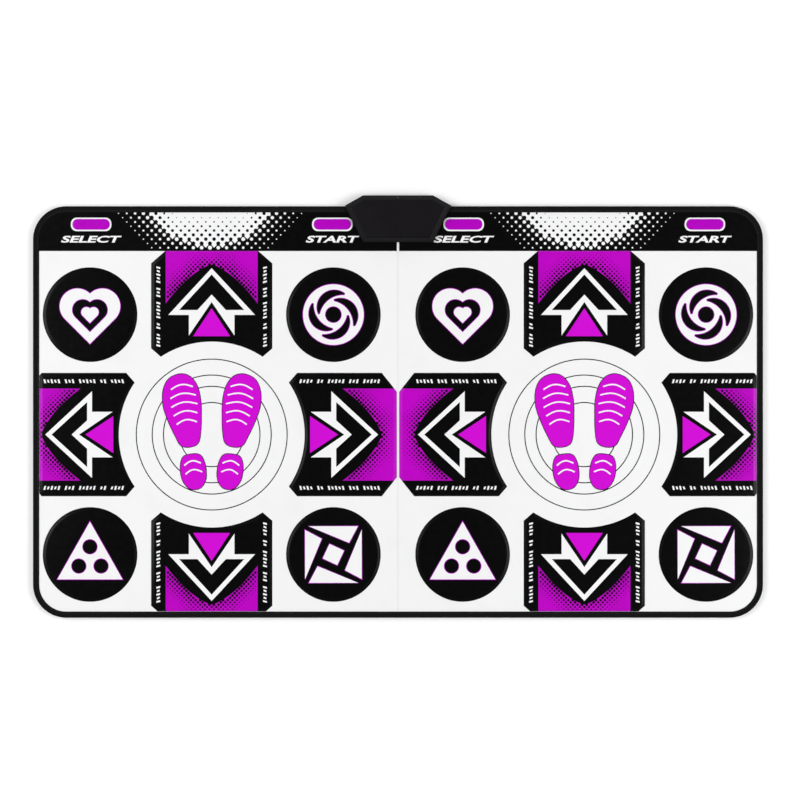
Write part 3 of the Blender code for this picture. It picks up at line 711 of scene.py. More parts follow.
def closed_skin(name, plan, triangles, rows):
    """A closed mesh over a flat plan. The rows are the heights of its corners, from the top down."""
    count = len(plan)
    vertices = np.vstack([np.column_stack([plan, np.broadcast_to(row, count)]) for row in rows])
    directed = {edge for a, b, c in triangles for edge in ((a, b), (b, c), (c, a))}
    rim = [(a, b) for a, b in directed if (b, a) not in directed]
    bottom = count * (len(rows) - 1)
    polygons = triangles + [(c + bottom, b + bottom, a + bottom) for a, b, c in triangles]
    for up in range(0, bottom, count):
        polygons += [(b + up, a + up, a + up + count, b + up + count) for a, b in rim]
    mesh = bpy.data.meshes.new(name)
    mesh.from_pydata(vertices.tolist(), [], polygons)
    return mesh


def printed_skin(name, shapes, guides, top, body, tone=None):
    """A closed skin of the cover's thickness, whose print is cut into its upper side."""
    plan, triangles, inks = cut_plan(shapes, guides)
    heights = top(plan)
    mesh = closed_skin(name, plan, triangles, [heights, heights - COVER_TOP + COVER_LOW])
    table = sorted(set(inks)) + ["backing"]
    slots = [table.index(ink) for ink in inks] + [len(table) - 1] * len(inks)
    slots += [table.index(shapes[0][0])] * (len(mesh.polygons) - len(slots))
    mesh.polygons.foreach_set("material_index", slots)
    if tone is not None:
        keep_values(mesh, "tone", np.tile(tone(plan), 2))
    soften(mesh, degrees=40)
    return new_object(name, mesh, [ink_material(ink) for ink in table], body)


def layer_skin(name, node, material, steps=1):
    """A flat layer with the outline and the holes of its CAD node, and the area of its cut."""
    low, high = (corner.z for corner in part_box(node))
    outer, *holes = node_loops(node, high)
    plan, triangles, _ = cut_plan([("layer", outer)] + [(None, hole) for hole in holes])
    mesh = closed_skin(name, plan, triangles, list(np.linspace(high, low, steps + 1)))
    bm = bmesh.new()
    bm.from_mesh(mesh)
    loose = [corner for corner in bm.verts if not corner.link_faces]
    bmesh.ops.delete(bm, geom=loose, context="VERTS")
    bm.to_mesh(mesh)
    bm.free()
    soften(mesh)
    item = new_object(name, mesh, [material], "mat")
    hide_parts(node)
    return item, area(outer) + sum(area(hole) for hole in holes)


FLAT_BEND = math.radians(1)
EDGE_BEND = math.radians(25)


def rounded_copy(name, node, radius, steps, material):
    """A CAD node's shape with its moulded edges rounded."""
    bm = bmesh.new()
    bm.from_mesh(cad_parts[node].data)
    bmesh.ops.remove_doubles(bm, verts=bm.verts[:], dist=NEAR)
    bmesh.ops.dissolve_limit(bm, angle_limit=FLAT_BEND, verts=bm.verts[:], edges=bm.edges[:])
    for face in bm.faces:
        face.material_index = 0
    mesh = bpy.data.meshes.new(name)
    bm.to_mesh(mesh)
    bm.free()
    item = new_object(name, mesh, [material], "mat")
    bevel = item.modifiers.new("rounded_edges", "BEVEL")
    bevel.width = radius
    bevel.segments = steps
    bevel.limit_method = "ANGLE"
    bevel.angle_limit = EDGE_BEND
    soften(mesh, degrees=50)
    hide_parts(node)


def join_rings(bm, near, far):
    """A belt of faces between two rings with as many corners."""
    for k in range(len(near)):
        bm.faces.new((near[k - 1], near[k], far[k], far[k - 1]))


def loft(bm, rows, closed_end=True):
    """A tube through rows of corners, closed at the first row. Hands back the ring at its end."""
    rings = [[bm.verts.new(corner) for corner in row] for row in rows]
    bm.faces.new(rings[0])
    for near, far in zip(rings, rings[1:]):
        join_rings(bm, near, far)
    if closed_end:
        bm.faces.new(rings[-1])
    return rings[-1]


def finished_mesh(bm, name):
    """Turns every face outwards and hands the shape over as a mesh."""
    bmesh.ops.recalc_face_normals(bm, faces=bm.faces[:])
    mesh = bpy.data.meshes.new(name)
    bm.to_mesh(mesh)
    bm.free()
    return mesh


# Print


def edged(loops, width, ink="white", edge="purple"):
    """Shapes that join where they meet, with one coloured edge round all of them."""
    return [(edge, outset(loop, width)) for loop in loops] + [(ink, loop) for loop in loops]


def art_at(shapes, centre, degrees=0.0):
    """Printed shapes, turned and moved to a centre."""
    return [(ink, placed(loop, centre, degrees)) for ink, loop in shapes]


def ribbon(path, width):
    """The loop round a path of even width."""
    left, right = [], []
    for i, point in enumerate(path):
        before, after = Vector(path[max(i - 1, 0)]), Vector(path[min(i + 1, len(path) - 1)])
        along = (after - before).normalized()
        across = Vector((-along.y, along.x)) * width / 2
        left.append(tuple(Vector(point) + across))
        right.append(tuple(Vector(point) - across))
    return right + left[::-1]


def heart(side, low):
    """A heart made of a square on its corner and two half discs."""
    middle = low + side * math.sqrt(0.5)
    lobe = side * math.sqrt(0.125)
    right = arc(lobe, middle + lobe, side / 2, -45, 135, steps=32)
    left = arc(-lobe, middle + lobe, side / 2, 45, 225, steps=32)
    return [(0, low), *right, *left[1:]]


def heart_motif(edge):
    """A broad heart-shaped band round a small heart."""
    shapes = edged([heart(side=0.080, low=-0.066)], edge)
    shapes += edged([heart(side=0.046, low=-0.038)], edge, ink="black")
    return shapes + edged([heart(side=0.023, low=-0.019)], edge)


def crescent(outer, inner, blunt):
    """What a second disc leaves of a first one, with blunt tips. The discs are (x, y, radius)."""
    gap = math.dist(outer[:2], inner[:2])
    towards = math.degrees(math.atan2(inner[1] - outer[1], inner[0] - outer[0]))
    spans = []
    for near, far in ((outer[2], inner[2]), (inner[2], outer[2])):
        reach = math.degrees(math.acos((near**2 + gap**2 - far**2) / (2 * near * gap)))
        spans.append((reach, math.degrees(blunt / near)))
    (span, cut), (inner_span, inner_cut) = spans
    loop = arc(*outer, towards + span + cut, towards + 360 - span - cut, steps=28)
    back = towards + 180
    return loop + arc(*inner, back + inner_span - inner_cut, back - inner_span + inner_cut, steps=24)


def swirl_motif(edge):
    """A ring joined to its hub by curved arms, with a crescent between each two."""
    ring, eye, blunt = 0.0685, 0.0182, 0.0045
    disc = (0.0021, 0.0165, 0.0397 - edge / 2)
    bite = (0.0224, -0.0098, 0.0545 + edge / 2)
    gap = crescent(disc, bite, blunt)
    shapes = edged([circle(0, 0, ring, steps=72)], edge)
    for turn in QUARTER_TURNS:
        shapes += edged([placed(gap, (0, 0), turn)], edge, ink="black")
    return shapes + edged([circle(0, 0, eye - edge / 2, steps=32)], edge, ink="black")


def triangle_motif(edge):
    """A triangle with three round windows."""
    half_base, low, high = 0.0735, -0.056, 0.074
    window, reach, middle = 0.0160, 0.0290, -0.0115
    shapes = edged([[(-half_base, low), (half_base, low), (0, high)]], edge)
    for degrees in (90, 210, 330):
        x, y = polar(reach, degrees)
        shapes += edged([circle(x, middle + y, window, steps=28)], edge, ink="black")
    return shapes


def pinwheel_motif(edge):
    """Four long blades round a small square."""
    blade = [(0.0355, 0.0265), (0.0553, 0.0640), (-0.0560, 0.0640)]
    core, lean = 0.0180, -25
    loops = [placed(blade, (0, 0), turn) for turn in QUARTER_TURNS]
    loops.append(placed(rectangle(-core, -core, core, core), (0, 0), lean))
    return edged(loops, edge)


DISC_MOTIFS = {
    "rear_left": heart_motif, "rear_right": swirl_motif, "front_left": triangle_motif,
    "front_right": pinwheel_motif,
}


def half_middle(side):
    """The middle of one player's half, which is the middle of its four discs."""
    discs = [box_middle(f"{side}_{corner}_disc_pad") for corner in DISC_MOTIFS]
    middle = sum(discs, Vector()) / len(discs)
    return middle.x, middle.y


# The arrow that every arrow pad carries, in metres from the middle of its half and along its own
# direction. The black crown over the arrow bows outwards, and past it lies the field of dots
FIELD_HALF = 0.104
FIELD_END = 1.0
SHOULDER_ALONG = 0.296
CROWN_ALONG = 0.3855
CROWN_BOW = 0.0125
CROWN_POINTS = 24
ARROW_APEX = 0.376
ARROW_TIP = (0.098, 0.2703)
STEM_HALF = 0.0515
STEM_FOOT = 0.2237
GAP_APEX = 0.2995
CHEVRON_APEX = 0.3616
CHEVRON_TIP = (0.0735, 0.2814)
CHEVRON_NOTCH_HALF = 0.0321
CHEVRON_NOTCH = 0.3164
WEDGE_APEX = 0.2854
WEDGE_BASE = (0.0418, 0.2222)

# The dots reach this share of their fade over the arrow's point, and all of it further out
FADE_OVER_POINT = 0.35
FADE_SPREAD = 0.07
LEAST_FIELD_DOT = 0.0005

# The slanting bars along the strips beside an arrow field
STRIP_MIDDLE = 0.1205
STRIP_START = 0.198
MARK_WIDTH = 0.0040
MARK_HEIGHT = 0.0088
SHORT_MARK = 0.72
MARK_PITCH = 0.0080
MARK_SLANT = 0.0022
MARK_GROUPS = (4, 2, 5, 3, 5)


def strip_marks(side):
    """Short slanting bars in groups, along the strip beside an arrow field."""
    marks = []
    along = STRIP_START
    for count in MARK_GROUPS:
        for i in range(count):
            height = MARK_HEIGHT * (SHORT_MARK if i % 2 else 1.0)
            low = STRIP_MIDDLE - height / 2
            bar = [
                (low, along),
                (low, along + MARK_WIDTH),
                (low + height, along + MARK_WIDTH + MARK_SLANT),
                (low + height, along + MARK_SLANT),
            ]
            marks.append(("white", bar if side > 0 else mirrored(bar)))
            along += MARK_PITCH
        along += MARK_PITCH
    return marks


def crown_at(u):
    """Where the black crown over the arrow ends, at a distance from its middle line. It bows outwards."""
    share = abs(u) / FIELD_HALF
    return CROWN_ALONG - (CROWN_ALONG - SHOULDER_ALONG) * share + 4 * CROWN_BOW * share * (1 - share)


def field_dots(sizes):
    """Black dots that grow towards the arrow, in rows shifted by half a step against each other."""
    slant_cosine = 1 / math.hypot(1, (CROWN_ALONG - SHOULDER_ALONG) / FIELD_HALF)
    pitch, row_pitch = sizes.field_dot_pitch, sizes.field_dot_pitch / 2
    columns = int(FIELD_HALF / pitch) + 1
    dots = []
    for row in range(int((CROWN_ALONG + sizes.field_fade - SHOULDER_ALONG) / row_pitch)):
        v = SHOULDER_ALONG + row * row_pitch
        for column in range(-columns, columns + 1):
            u = (column + (row % 2) / 2) * pitch
            away = (v - crown_at(u)) * slant_cosine
            reach = sizes.field_fade * min(1.0, FADE_OVER_POINT + abs(u) / FADE_SPREAD)
            radius = sizes.field_dot_radius * (1 - away / reach) if 0 <= away < reach else 0
            if radius > LEAST_FIELD_DOT and abs(u) + radius < FIELD_HALF:
                dots.append(("black", circle(u, v, radius, steps=8)))
    return dots


def arrow_print(sizes):
    """The print of an arrow pad, on its black ground."""
    crown = [(u, crown_at(u)) for u in np.linspace(-FIELD_HALF, FIELD_HALF, CROWN_POINTS)]
    field = [(FIELD_HALF, FIELD_END), (-FIELD_HALF, FIELD_END), *crown]
    arrow_side = [
        (0, GAP_APEX),
        (STEM_HALF, STEM_FOOT),
        (STEM_HALF, ARROW_TIP[1]),
        ARROW_TIP,
        (0, ARROW_APEX),
    ]
    arrow = arrow_side + mirrored(arrow_side[1:-1])
    chevron_side = [
        (0, CHEVRON_NOTCH),
        (CHEVRON_NOTCH_HALF, CHEVRON_TIP[1]),
        CHEVRON_TIP,
        (0, CHEVRON_APEX),
    ]
    chevron = chevron_side + mirrored(chevron_side[1:-1])
    wedge = [(-WEDGE_BASE[0], WEDGE_BASE[1]), WEDGE_BASE, (0, WEDGE_APEX)]
    shapes = [("magenta", field), *field_dots(sizes)]
    shapes += [("white", arrow), ("black", chevron), ("bright", wedge)]
    return shapes + strip_marks(1) + strip_marks(-1)


# The labels of the small buttons, as their text and width, and how all of them are set
LABELS = {"select": ("SELECT", 0.138), "start": ("START", 0.122)}
LABEL_HEIGHT = 0.0156
LABEL_SLANT = 0.0065
LABEL_DROP = 0.0335
LETTER_WEIGHT = 0.032
LETTER_STEPS = 3


def lettering(text, width):
    """The letters of a control's label as (ink, loop) pairs, wide and leaning."""
    curve = bpy.data.curves.new("label", "FONT")
    curve.body = text
    curve.offset = LETTER_WEIGHT
    curve.resolution_u = LETTER_STEPS
    item = bpy.data.objects.new("label", curve)
    mesh = bpy.data.meshes.new_from_object(item)
    loops = loops_of(mesh, 0.0)
    bpy.data.objects.remove(item)
    bpy.data.curves.remove(curve)
    bpy.data.meshes.remove(mesh)
    xs = [x for loop in loops for x, _ in loop]
    ys = [y for loop in loops for _, y in loop]
    wide, tall = max(xs) - min(xs), max(ys) - min(ys)
    shapes = []
    for loop in loops:
        ink = "white" if area(loop) > 0 else "black"
        shaped = []
        for x, y in loop:
            u = (x - min(xs)) / wide - 0.5
            v = (y - min(ys)) / tall - 0.5
            shaped.append((u * (width - LABEL_SLANT) + v * LABEL_SLANT, v * LABEL_HEIGHT))
        shapes.append((ink, shaped))
    return shapes


# The halftone in the rear band of each half, in metres from the band's front edge
HALFTONE_SHIFT = -0.004
WEDGE_TIP = 0.016
WEDGE_TOP = 0.090
WEDGE_HALF = 0.136
WEDGE_CURVE = 0.34
REACH_TOP_HALF = 0.214
REACH_FOOT_HALF = 0.142
WHITE_DOT = 0.0046
BLACK_DOT = 0.0047
BLACK_FADE = 0.062
BLACK_CURVE = 0.8
LAST_DOT = 0.0011
LEAST_DOT = 0.0007
DOT_STEPS = 12


def wedge_depth(x, rise):
    """How far a point lies inside the white wedge, sideways. Outside it is negative."""
    share = max(0.0, (rise - WEDGE_TIP) / (WEDGE_TOP - WEDGE_TIP))
    return WEDGE_HALF * share**WEDGE_CURVE - abs(x)


def black_dot(depth, rise, margin):
    """Radius of a black dot in the white wedge and its margin: least in the middle of the rear edge."""
    share = (rise - WEDGE_TIP) / (WEDGE_TOP - WEDGE_TIP)
    if depth < -margin or not 0 < share < 1:
        return 0.0
    return BLACK_DOT * min(1, max(1 - depth / BLACK_FADE, (1 - share) ** BLACK_CURVE))


def band_halftone(centre_x, sizes):
    """A white wedge that dissolves into the black band.

    The white grows from dots to whole cells, and the black shrinks to dots on the cells' corners.
    """
    pitch, row_pitch = sizes.band_dot_pitch, sizes.band_row_pitch
    cell = [(-pitch / 2, 0), (0, -row_pitch), (pitch / 2, 0), (0, row_pitch)]
    white, black = [], []
    for row in range(-1, int(WEDGE_TOP / row_pitch)):
        rise = WEDGE_TOP - (row + 0.5) * row_pitch
        reach = REACH_FOOT_HALF + (REACH_TOP_HALF - REACH_FOOT_HALF) * rise / WEDGE_TOP
        columns = int(reach / pitch) + 1
        for column in range(-columns, columns + 1):
            x = (column + row % 2 / 2) * pitch
            depth = wedge_depth(x, rise)
            centre = (centre_x + x, BAND_EDGE + rise)
            if depth > 0:
                white.append(("white", placed(cell, centre)))
            elif abs(x) < reach:
                share = -depth / (reach - abs(x) - depth)
                radius = WHITE_DOT + (LAST_DOT - WHITE_DOT) * share
                white.append(("white", circle(*centre, radius, DOT_STEPS)))
            x += pitch / 2
            radius = black_dot(wedge_depth(x, rise), rise, pitch / 2)
            if radius > LEAST_DOT:
                black.append(("black", circle(centre_x + x, BAND_EDGE + rise, radius, DOT_STEPS)))
    return white + black


# The rings and the pair of footprints in the middle of each half. A tread is its place and its width
RING_RADII = (0.1705, 0.1345, 0.1090, 0.0725)
RING_STEPS = 96
FOOT_OFFSET = (0.053, 0.002)
FOOT_TURN = -8.0
SOLE = (
    (0.000, 0.136), (0.027, 0.128), (0.043, 0.103), (0.047, 0.068), (0.040, 0.032), (0.030, 0.000),
    (0.020, -0.024), (0.000, -0.030), (-0.019, -0.024), (-0.028, 0.000), (-0.034, 0.034), (-0.038, 0.070),
    (-0.035, 0.103), (-0.022, 0.127),
)
HEEL = (
    (0.000, -0.047), (0.019, -0.051), (0.028, -0.073), (0.027, -0.103), (0.013, -0.124), (-0.010, -0.125),
    (-0.025, -0.107), (-0.028, -0.076), (-0.020, -0.052),
)
OUTLINE_STEPS = 5
FOOT_LINE = 0.0018
TREADS = (
    (0.104, 0.050), (0.084, 0.058), (0.064, 0.060), (0.044, 0.054), (0.024, 0.046),
    (-0.070, 0.038), (-0.090, 0.038),
)
TREAD_WIDTH = 0.0032
TREAD_BOW = 0.008
TREAD_STEPS = 8


def footprint(step):
    """One shoe's print: a sole and a heel with thin dark edges and treads left white."""
    parts = [smooth_loop(outline, OUTLINE_STEPS)[::-1] for outline in (SOLE, HEEL)]
    shapes = edged(parts, FOOT_LINE, ink="bright", edge="black")
    for along, width in TREADS:
        path = []
        for i in range(TREAD_STEPS + 1):
            share = i / TREAD_STEPS
            path.append((width * (share - 0.5), along + TREAD_BOW * math.sin(math.pi * share)))
        shapes.append(("white", ribbon(path, TREAD_WIDTH)))
    if step < 0:
        shapes = [(ink, mirrored(loop)) for ink, loop in shapes]
    return art_at(shapes, (step * FOOT_OFFSET[0], FOOT_OFFSET[1]), step * FOOT_TURN)


def ring_print(sizes):
    """Thin black circles, each a black disc with a white one over it."""
    shapes = []
    for radius in RING_RADII:
        shapes.append(("black", circle(0, 0, radius + sizes.fine_line / 2, RING_STEPS)))
        shapes.append(("white", circle(0, 0, radius - sizes.fine_line / 2, RING_STEPS)))
    return shapes


# The cover and its pads

# Half width of the crease between the halves, and the shares of it at which the cover is cut to bend
CREASE_REACH = 0.006
CREASE_GUIDES = (-1, -0.5, -0.2, 0, 0.2, 0.5, 1)


def cover_print(sizes):
    """The print of the cover, in the mat's own place, with its openings cut last."""
    far = CAD_HIGH.x + 1
    outline, *openings = map(finer, node_loops("top_cover", COVER_TOP))
    shapes = [("white", outline), ("black", rectangle(-far, BAND_EDGE, far, far))]
    half_line = sizes.centre_line / 2
    shapes.append(("white", rectangle(-half_line, BAND_EDGE - NEAR, half_line, far)))
    for side in SIDES:
        centre = half_middle(side)
        shapes += band_halftone(centre[0] + HALFTONE_SHIFT, sizes)
        shapes += art_at(ring_print(sizes) + footprint(1) + footprint(-1), centre)
        for label, (text, width) in LABELS.items():
            place = box_middle(f"{side}_{label}_button")
            shapes += art_at(lettering(text, width), (place.x, place.y - LABEL_DROP))
    return shapes + [(None, loop) for loop in openings], outline, openings


class DANCE_MAT_OT_cover(Operator):
    """Make the printed top cover, creased between its halves"""

    bl_idname = "dance_mat.cover"
    bl_label = "Top Cover"

    def execute(self, context):
        settings = context.scene.dance_mat
        shapes, outline, openings = cover_print(settings.print_sizes)
        depth = settings.sewing.crease_depth
        guides = []
        for share in CREASE_GUIDES:
            x = share * CREASE_REACH
            guides.append(([(x, MAT_LOW.y), (x, BOX_FRONT)], False))

        def top(plan):
            crease = depth * (1 - eased(np.abs(plan[:, 0]) / CREASE_REACH))
            return COVER_TOP - np.where(plan[:, 1] < BOX_FRONT, crease, 0)

        cover = printed_skin("printed_cover", shapes, guides, top, "mat")
        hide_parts("top_cover")
        cut = area(outline) + sum(area(loop) for loop in openings)
        return {"FINISHED"}


# A pad swells from its rim over its slope, which is cut at these distances to bend
PAD_SLOPE = 0.008
SLOPE_GUIDES = (0.001, 0.0025, 0.004, 0.0055, 0.007, 0.008)


def raised_pad(node, shapes, tone=None):
    """A pad's skin, swelling from its rim. Pressed down, it comes level with the cover."""
    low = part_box(node)[0].z
    rim = finer(node_loops(node, low)[0])
    guides = [(outset(rim, -distance), True) for distance in SLOPE_GUIDES]
    travel = PAD_TOP - COVER_TOP

    def top(plan):
        return COVER_TOP + travel * eased(distance_to(rim, plan) / PAD_SLOPE)

    ground, *art = shapes
    skin = printed_skin(f"{node}_skin", [(ground, rim), *art], guides, top, node, tone)
    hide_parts(node)
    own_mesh(skin)


def field_tone(centre, degrees):
    """What gives the tone of an arrow field: 0 at its shoulders, and 1 from its crown's top outwards."""
    outward = np.array(polar(1, degrees + 90))

    def tone(plan):
        along = (plan - np.array(centre)) @ outward
        return np.clip((along - SHOULDER_ALONG) / (CROWN_ALONG - SHOULDER_ALONG), 0, 1)

    return tone


class DANCE_MAT_OT_arrow_pads(Operator):
    """Make the eight arrow pads"""

    bl_idname = "dance_mat.arrow_pads"
    bl_label = "Arrow Pads"

    def execute(self, context):
        art = arrow_print(context.scene.dance_mat.print_sizes)
        for side in SIDES:
            centre = half_middle(side)
            for direction, degrees in ARROW_TURNS.items():
                shapes = ["black", *art_at(art, centre, degrees)]
                node = f"{side}_{direction}_arrow_pad"
                raised_pad(node, shapes, field_tone(centre, degrees))
        return {"FINISHED"}


class DANCE_MAT_OT_disc_pads(Operator):
    """Make the eight round pads and their motifs"""

    bl_idname = "dance_mat.disc_pads"
    bl_label = "Disc Pads"

    def execute(self, context):
        edge = context.scene.dance_mat.print_sizes.motif_edge
        for side in SIDES:
            for corner, motif in DISC_MOTIFS.items():
                node = f"{side}_{corner}_disc_pad"
                raised_pad(node, ["black", *art_at(motif(edge), box_middle(node))])
        return {"FINISHED"}


class DANCE_MAT_OT_buttons(Operator):
    """Make the select and start buttons"""

    bl_idname = "dance_mat.buttons"
    bl_label = "Buttons"

    def execute(self, context):
        line = context.scene.dance_mat.print_sizes.button_line
        for side in SIDES:
            for label in LABELS:
                node = f"{side}_{label}_button"
                low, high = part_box(node)
                half = (high.y - low.y) / 2 - line
                middle = (low.y + high.y) / 2
                pill = arc(high.x - line - half, middle, half, -90, 90, steps=16)
                pill += arc(low.x + line + half, middle, half, 90, 270, steps=16)
                raised_pad(node, ["white", ("purple", pill)])
        return {"FINISHED"}


# The binding

CORNER_STEPS = 16
FOLD_STEPS = 4
INNER_FOLD_STEPS = 3
LAYER_GAP = 0.0003

# How the tape's lower and upper cut edges are broken: (inwards, in height)
LOW_BREAK = (0.0003, 0.0002)
HIGH_BREAK = (0.0004, 0.0003)

# The stitches pull the tape into a groove: (distance from its middle, share of its depth)
STITCH_INSET = 0.0105
STITCH_DIP = 0.00025
GROOVE = ((-0.0018, 0), (-0.0007, 0.6), (0, 1), (0.0007, 0.6), (0.0018, 0))

# One stitch: (share of its length, height in thread radii)
STITCH_BEND = ((-0.5, -0.9), (-0.36, 0.25), (0, 0.5), (0.36, 0.25), (0.5, -0.9))
THREAD_SIDES = 5

# How far the centre seam stops short of the binding and of the control box
SEAM_FRONT_GAP = 0.002
SEAM_REAR_GAP = 0.004


def box_side_lean():
    """How far each side of the control box comes in, per metre towards the front."""
    side = [point for point in node_loops("box_lower_shell", MAT_LOW.z)[0] if point[0] > 0]
    widest, foot = max(side), min(side, key=lambda point: point[1])
    return (widest[0] - foot[0]) / (widest[1] - foot[1])


def binding_path(inset):
    """The tape's path at a distance in from the mat's edge, from one side of the box round to the other."""
    low, high = MAT_LOW, MAT_HIGH
    rim = node_loops("edge_binding", low.z)[0]
    tangent = max(y for x, y in rim if x > high.x - NEAR)
    radius = high.y - tangent
    end_x = min(abs(x) for x, y in rim if y > high.y - NEAR)
    right = arc(high.x - radius, low.y + radius, radius - inset, -90, 0, CORNER_STEPS)
    right += arc(high.x - radius, high.y - radius, radius - inset, 0, 90, CORNER_STEPS)
    right.append((end_x - box_side_lean() * inset, high.y - inset))
    return mirrored(right) + right


def binding_width():
    """How far the tape reaches in over the mat, from the two long edges of its front run."""
    rim = node_loops("edge_binding", MAT_HIGH.z)[0]
    reach = max(abs(x) for x, y in rim if y < MAT_LOW.y + NEAR)
    front = [y for x, y in rim if abs(x) < reach + NEAR and y < 0]
    return max(front) - min(front)


def tape_profile(fold):
    """Cross-section of the folded tape as (inset, height): from its lower edge round the outside and back."""
    width, high = binding_width(), MAT_HIGH.z
    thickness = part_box("base_foam")[0].x - MAT_LOW.x - LAYER_GAP
    base_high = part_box("base_sheet")[1].z
    profile = [(width, LOW_BREAK[1]), (width - LOW_BREAK[0], 0.0), (fold, 0.0)]
    profile += arc(fold, fold, fold, -90, -180, FOLD_STEPS)[1:]
    profile += arc(fold, high - fold, fold, 180, 90, FOLD_STEPS)
    profile += [(STITCH_INSET + away, high - STITCH_DIP * share) for away, share in GROOVE]
    profile += [(width - HIGH_BREAK[0], high), (width, high - HIGH_BREAK[1])]
    profile += [(width, COVER_TOP + LAYER_GAP)]
    profile += arc(fold, high - fold, fold - thickness, 90, 180, INNER_FOLD_STEPS)
    return profile + [(thickness, base_high), (width, base_high)]


def stitches(name, path, sizes, material, height):
    """A row of stitches along a flat path: each a short thread whose ends dive into the cloth."""
    radius = sizes.thread_radius
    lengths = [math.dist(a, b) for a, b in zip(path, path[1:])]
    total = sum(lengths)
    count = int(total / sizes.stitch_pitch)
    segment, passed = 0, 0.0
    bm = bmesh.new()
    for i in range(count):
        middle = (i + 0.5) * total / count
        while middle > passed + lengths[segment]:
            passed += lengths[segment]
            segment += 1
        a, b = Vector(path[segment]), Vector(path[segment + 1])
        along = (b - a).normalized()
        across = Vector((-along.y, along.x))
        centre = a + along * (middle - passed)
        rows = []
        for share, lift in STITCH_BEND:
            spine = centre + along * share * sizes.stitch_length
            row = []
            for out, up in circle(0, 0, radius, THREAD_SIDES):
                row.append((*(spine + across * out), height + radius * lift + up))
            rows.append(row)
        loft(bm, rows)
    mesh = finished_mesh(bm, name)
    mesh.shade_smooth()
    new_object(name, mesh, [material], "mat")


class DANCE_MAT_OT_binding(Operator):
    """Make the folded binding tape and its row of stitches"""

    bl_idname = "dance_mat.binding"
    bl_label = "Edge Binding"

    def execute(self, context):
        sizes = context.scene.dance_mat.sewing
        profile = tape_profile(sizes.fold_radius)
        runs = [[(x, y, height) for x, y in binding_path(inset)] for inset, height in profile]
        middle = binding_path(STITCH_INSET)
        along = np.cumsum([0.0] + [math.dist(a, b) for a, b in zip(middle, middle[1:])])
        bm = bmesh.new()
        loft(bm, zip(*runs))
        mesh = finished_mesh(bm, "binding_tape")
        keep_values(mesh, "along", np.repeat(along, len(profile)))
        soften(mesh, degrees=50)
        tape = new_object("binding_tape", mesh, [binding_cloth(sizes.rib_pitch)], "mat")
        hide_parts("edge_binding")
        width = 2 * binding_width() + MAT_HIGH.z - MAT_LOW.z
        thread = spun_thread("black_thread", (0.012, 0.012, 0.013))
        stitches("binding_stitches", middle, sizes, thread, MAT_HIGH.z - STITCH_DIP)
        return {"FINISHED"}


class DANCE_MAT_OT_centre_seam(Operator):
    """Make the row of stitches down the crease between the halves"""

    bl_idname = "dance_mat.centre_seam"
    bl_label = "Centre Seam"

    def execute(self, context):
        sizes = context.scene.dance_mat.sewing
        thread = spun_thread("white_thread", (0.62, 0.62, 0.63))
        seam = [(0, MAT_LOW.y + binding_width() + SEAM_FRONT_GAP), (0, BOX_FRONT - SEAM_REAR_GAP)]
        stitches("centre_stitches", seam, sizes, thread, COVER_TOP - sizes.crease_depth)
        return {"FINISHED"}


# Layers under the cover


class DANCE_MAT_OT_layers(Operator):
    """Make the anti-slip base, the foams and the contact films"""

    bl_idname = "dance_mat.layers"
    bl_label = "Inner Layers"

    def execute(self, context):
        base, cut = layer_skin("base_cloth", "base_sheet", anti_slip_cloth())
        grey = foam("grey_foam", (0.16, 0.16, 0.17), cell=0.0011)
        base_foam, _ = layer_skin("base_padding", "base_foam", grey, steps=4)
        film = contact_film()
        white = foam("white_foam", (0.80, 0.80, 0.78), cell=0.0007)
        for side in SIDES:
            padding, _ = layer_skin(f"{side}_spacer_padding", f"{side}_spacer_foam", white, steps=2)
            for level, under in (("lower", "base_padding"), ("upper", f"{side}_spacer_padding")):
                node = f"{side}_{level}_film"
                sheet, cut = layer_skin(f"{node}_sheet", node, film)
        return {"FINISHED"}


# The control box

# The lower shell's edges are rounded by this share of the upper one's
LOWER_EDGE_SHARE = 0.25


class DANCE_MAT_OT_box_shells(Operator):
    """Make the two shells of the control box with rounded edges"""

    bl_idname = "dance_mat.box_shells"
    bl_label = "Box Shells"

    def execute(self, context):
        sizes = context.scene.dance_mat.control_box
        plastic = moulded_plastic("box_plastic", tuple(sizes.plastic), sizes.grain)
        radius, steps = sizes.edge_radius, sizes.edge_steps
        rounded_copy("upper_shell", "box_upper_shell", radius, steps, plastic)
        low_radius = radius * LOWER_EDGE_SHARE
        rounded_copy("lower_shell", "box_lower_shell", low_radius, steps, plastic)
        return {"FINISHED"}


# Every screw has so many corners round it, and so many rows of them in a turn of its thread. Its thread
# and its neck end so far below the head
SCREW_STEPS = 24
THREAD_ROWS = 6
THREAD_END = 0.0004
NECK_END = 0.0002

# Shares of the shank's radius. The point is given as (radius, height)
SCREW_POINT = ((0.45, 0), (0.8, 0.4))
THREAD_START = 0.5
THREAD_DEPTH = 0.16
NECK_REACH = 0.84

# Shares of the head's radius, and how much narrower the recess is at its foot
HEAD_DOME = 0.12
SEAT_REACH = 0.96
CROWN_REACH = 0.92
RECESS_MOUTH = 0.62
RECESS_FOOT = 0.22
RECESS_DEPTH = 0.4
RECESS_TAPER = 0.4

# Width of the recess and pitch of the thread
BOX_SCREW = (0.0009, 0.0012)
CLAMP_SCREW = (0.0008, 0.0008)


def cross(reach, width):
    """The outline of a cross, counterclockwise."""
    quarter = [(reach, -width / 2), (reach, width / 2), (width / 2, width / 2)]
    return [point for turn in QUARTER_TURNS for point in placed(quarter, (0, 0), turn)]


def ring_edges(bm, ring):
    """The edges between the corners of a ring, made where they are missing."""
    return [bm.edges.get(pair) or bm.edges.new(pair) for pair in zip(ring, ring[1:] + ring[:1])]


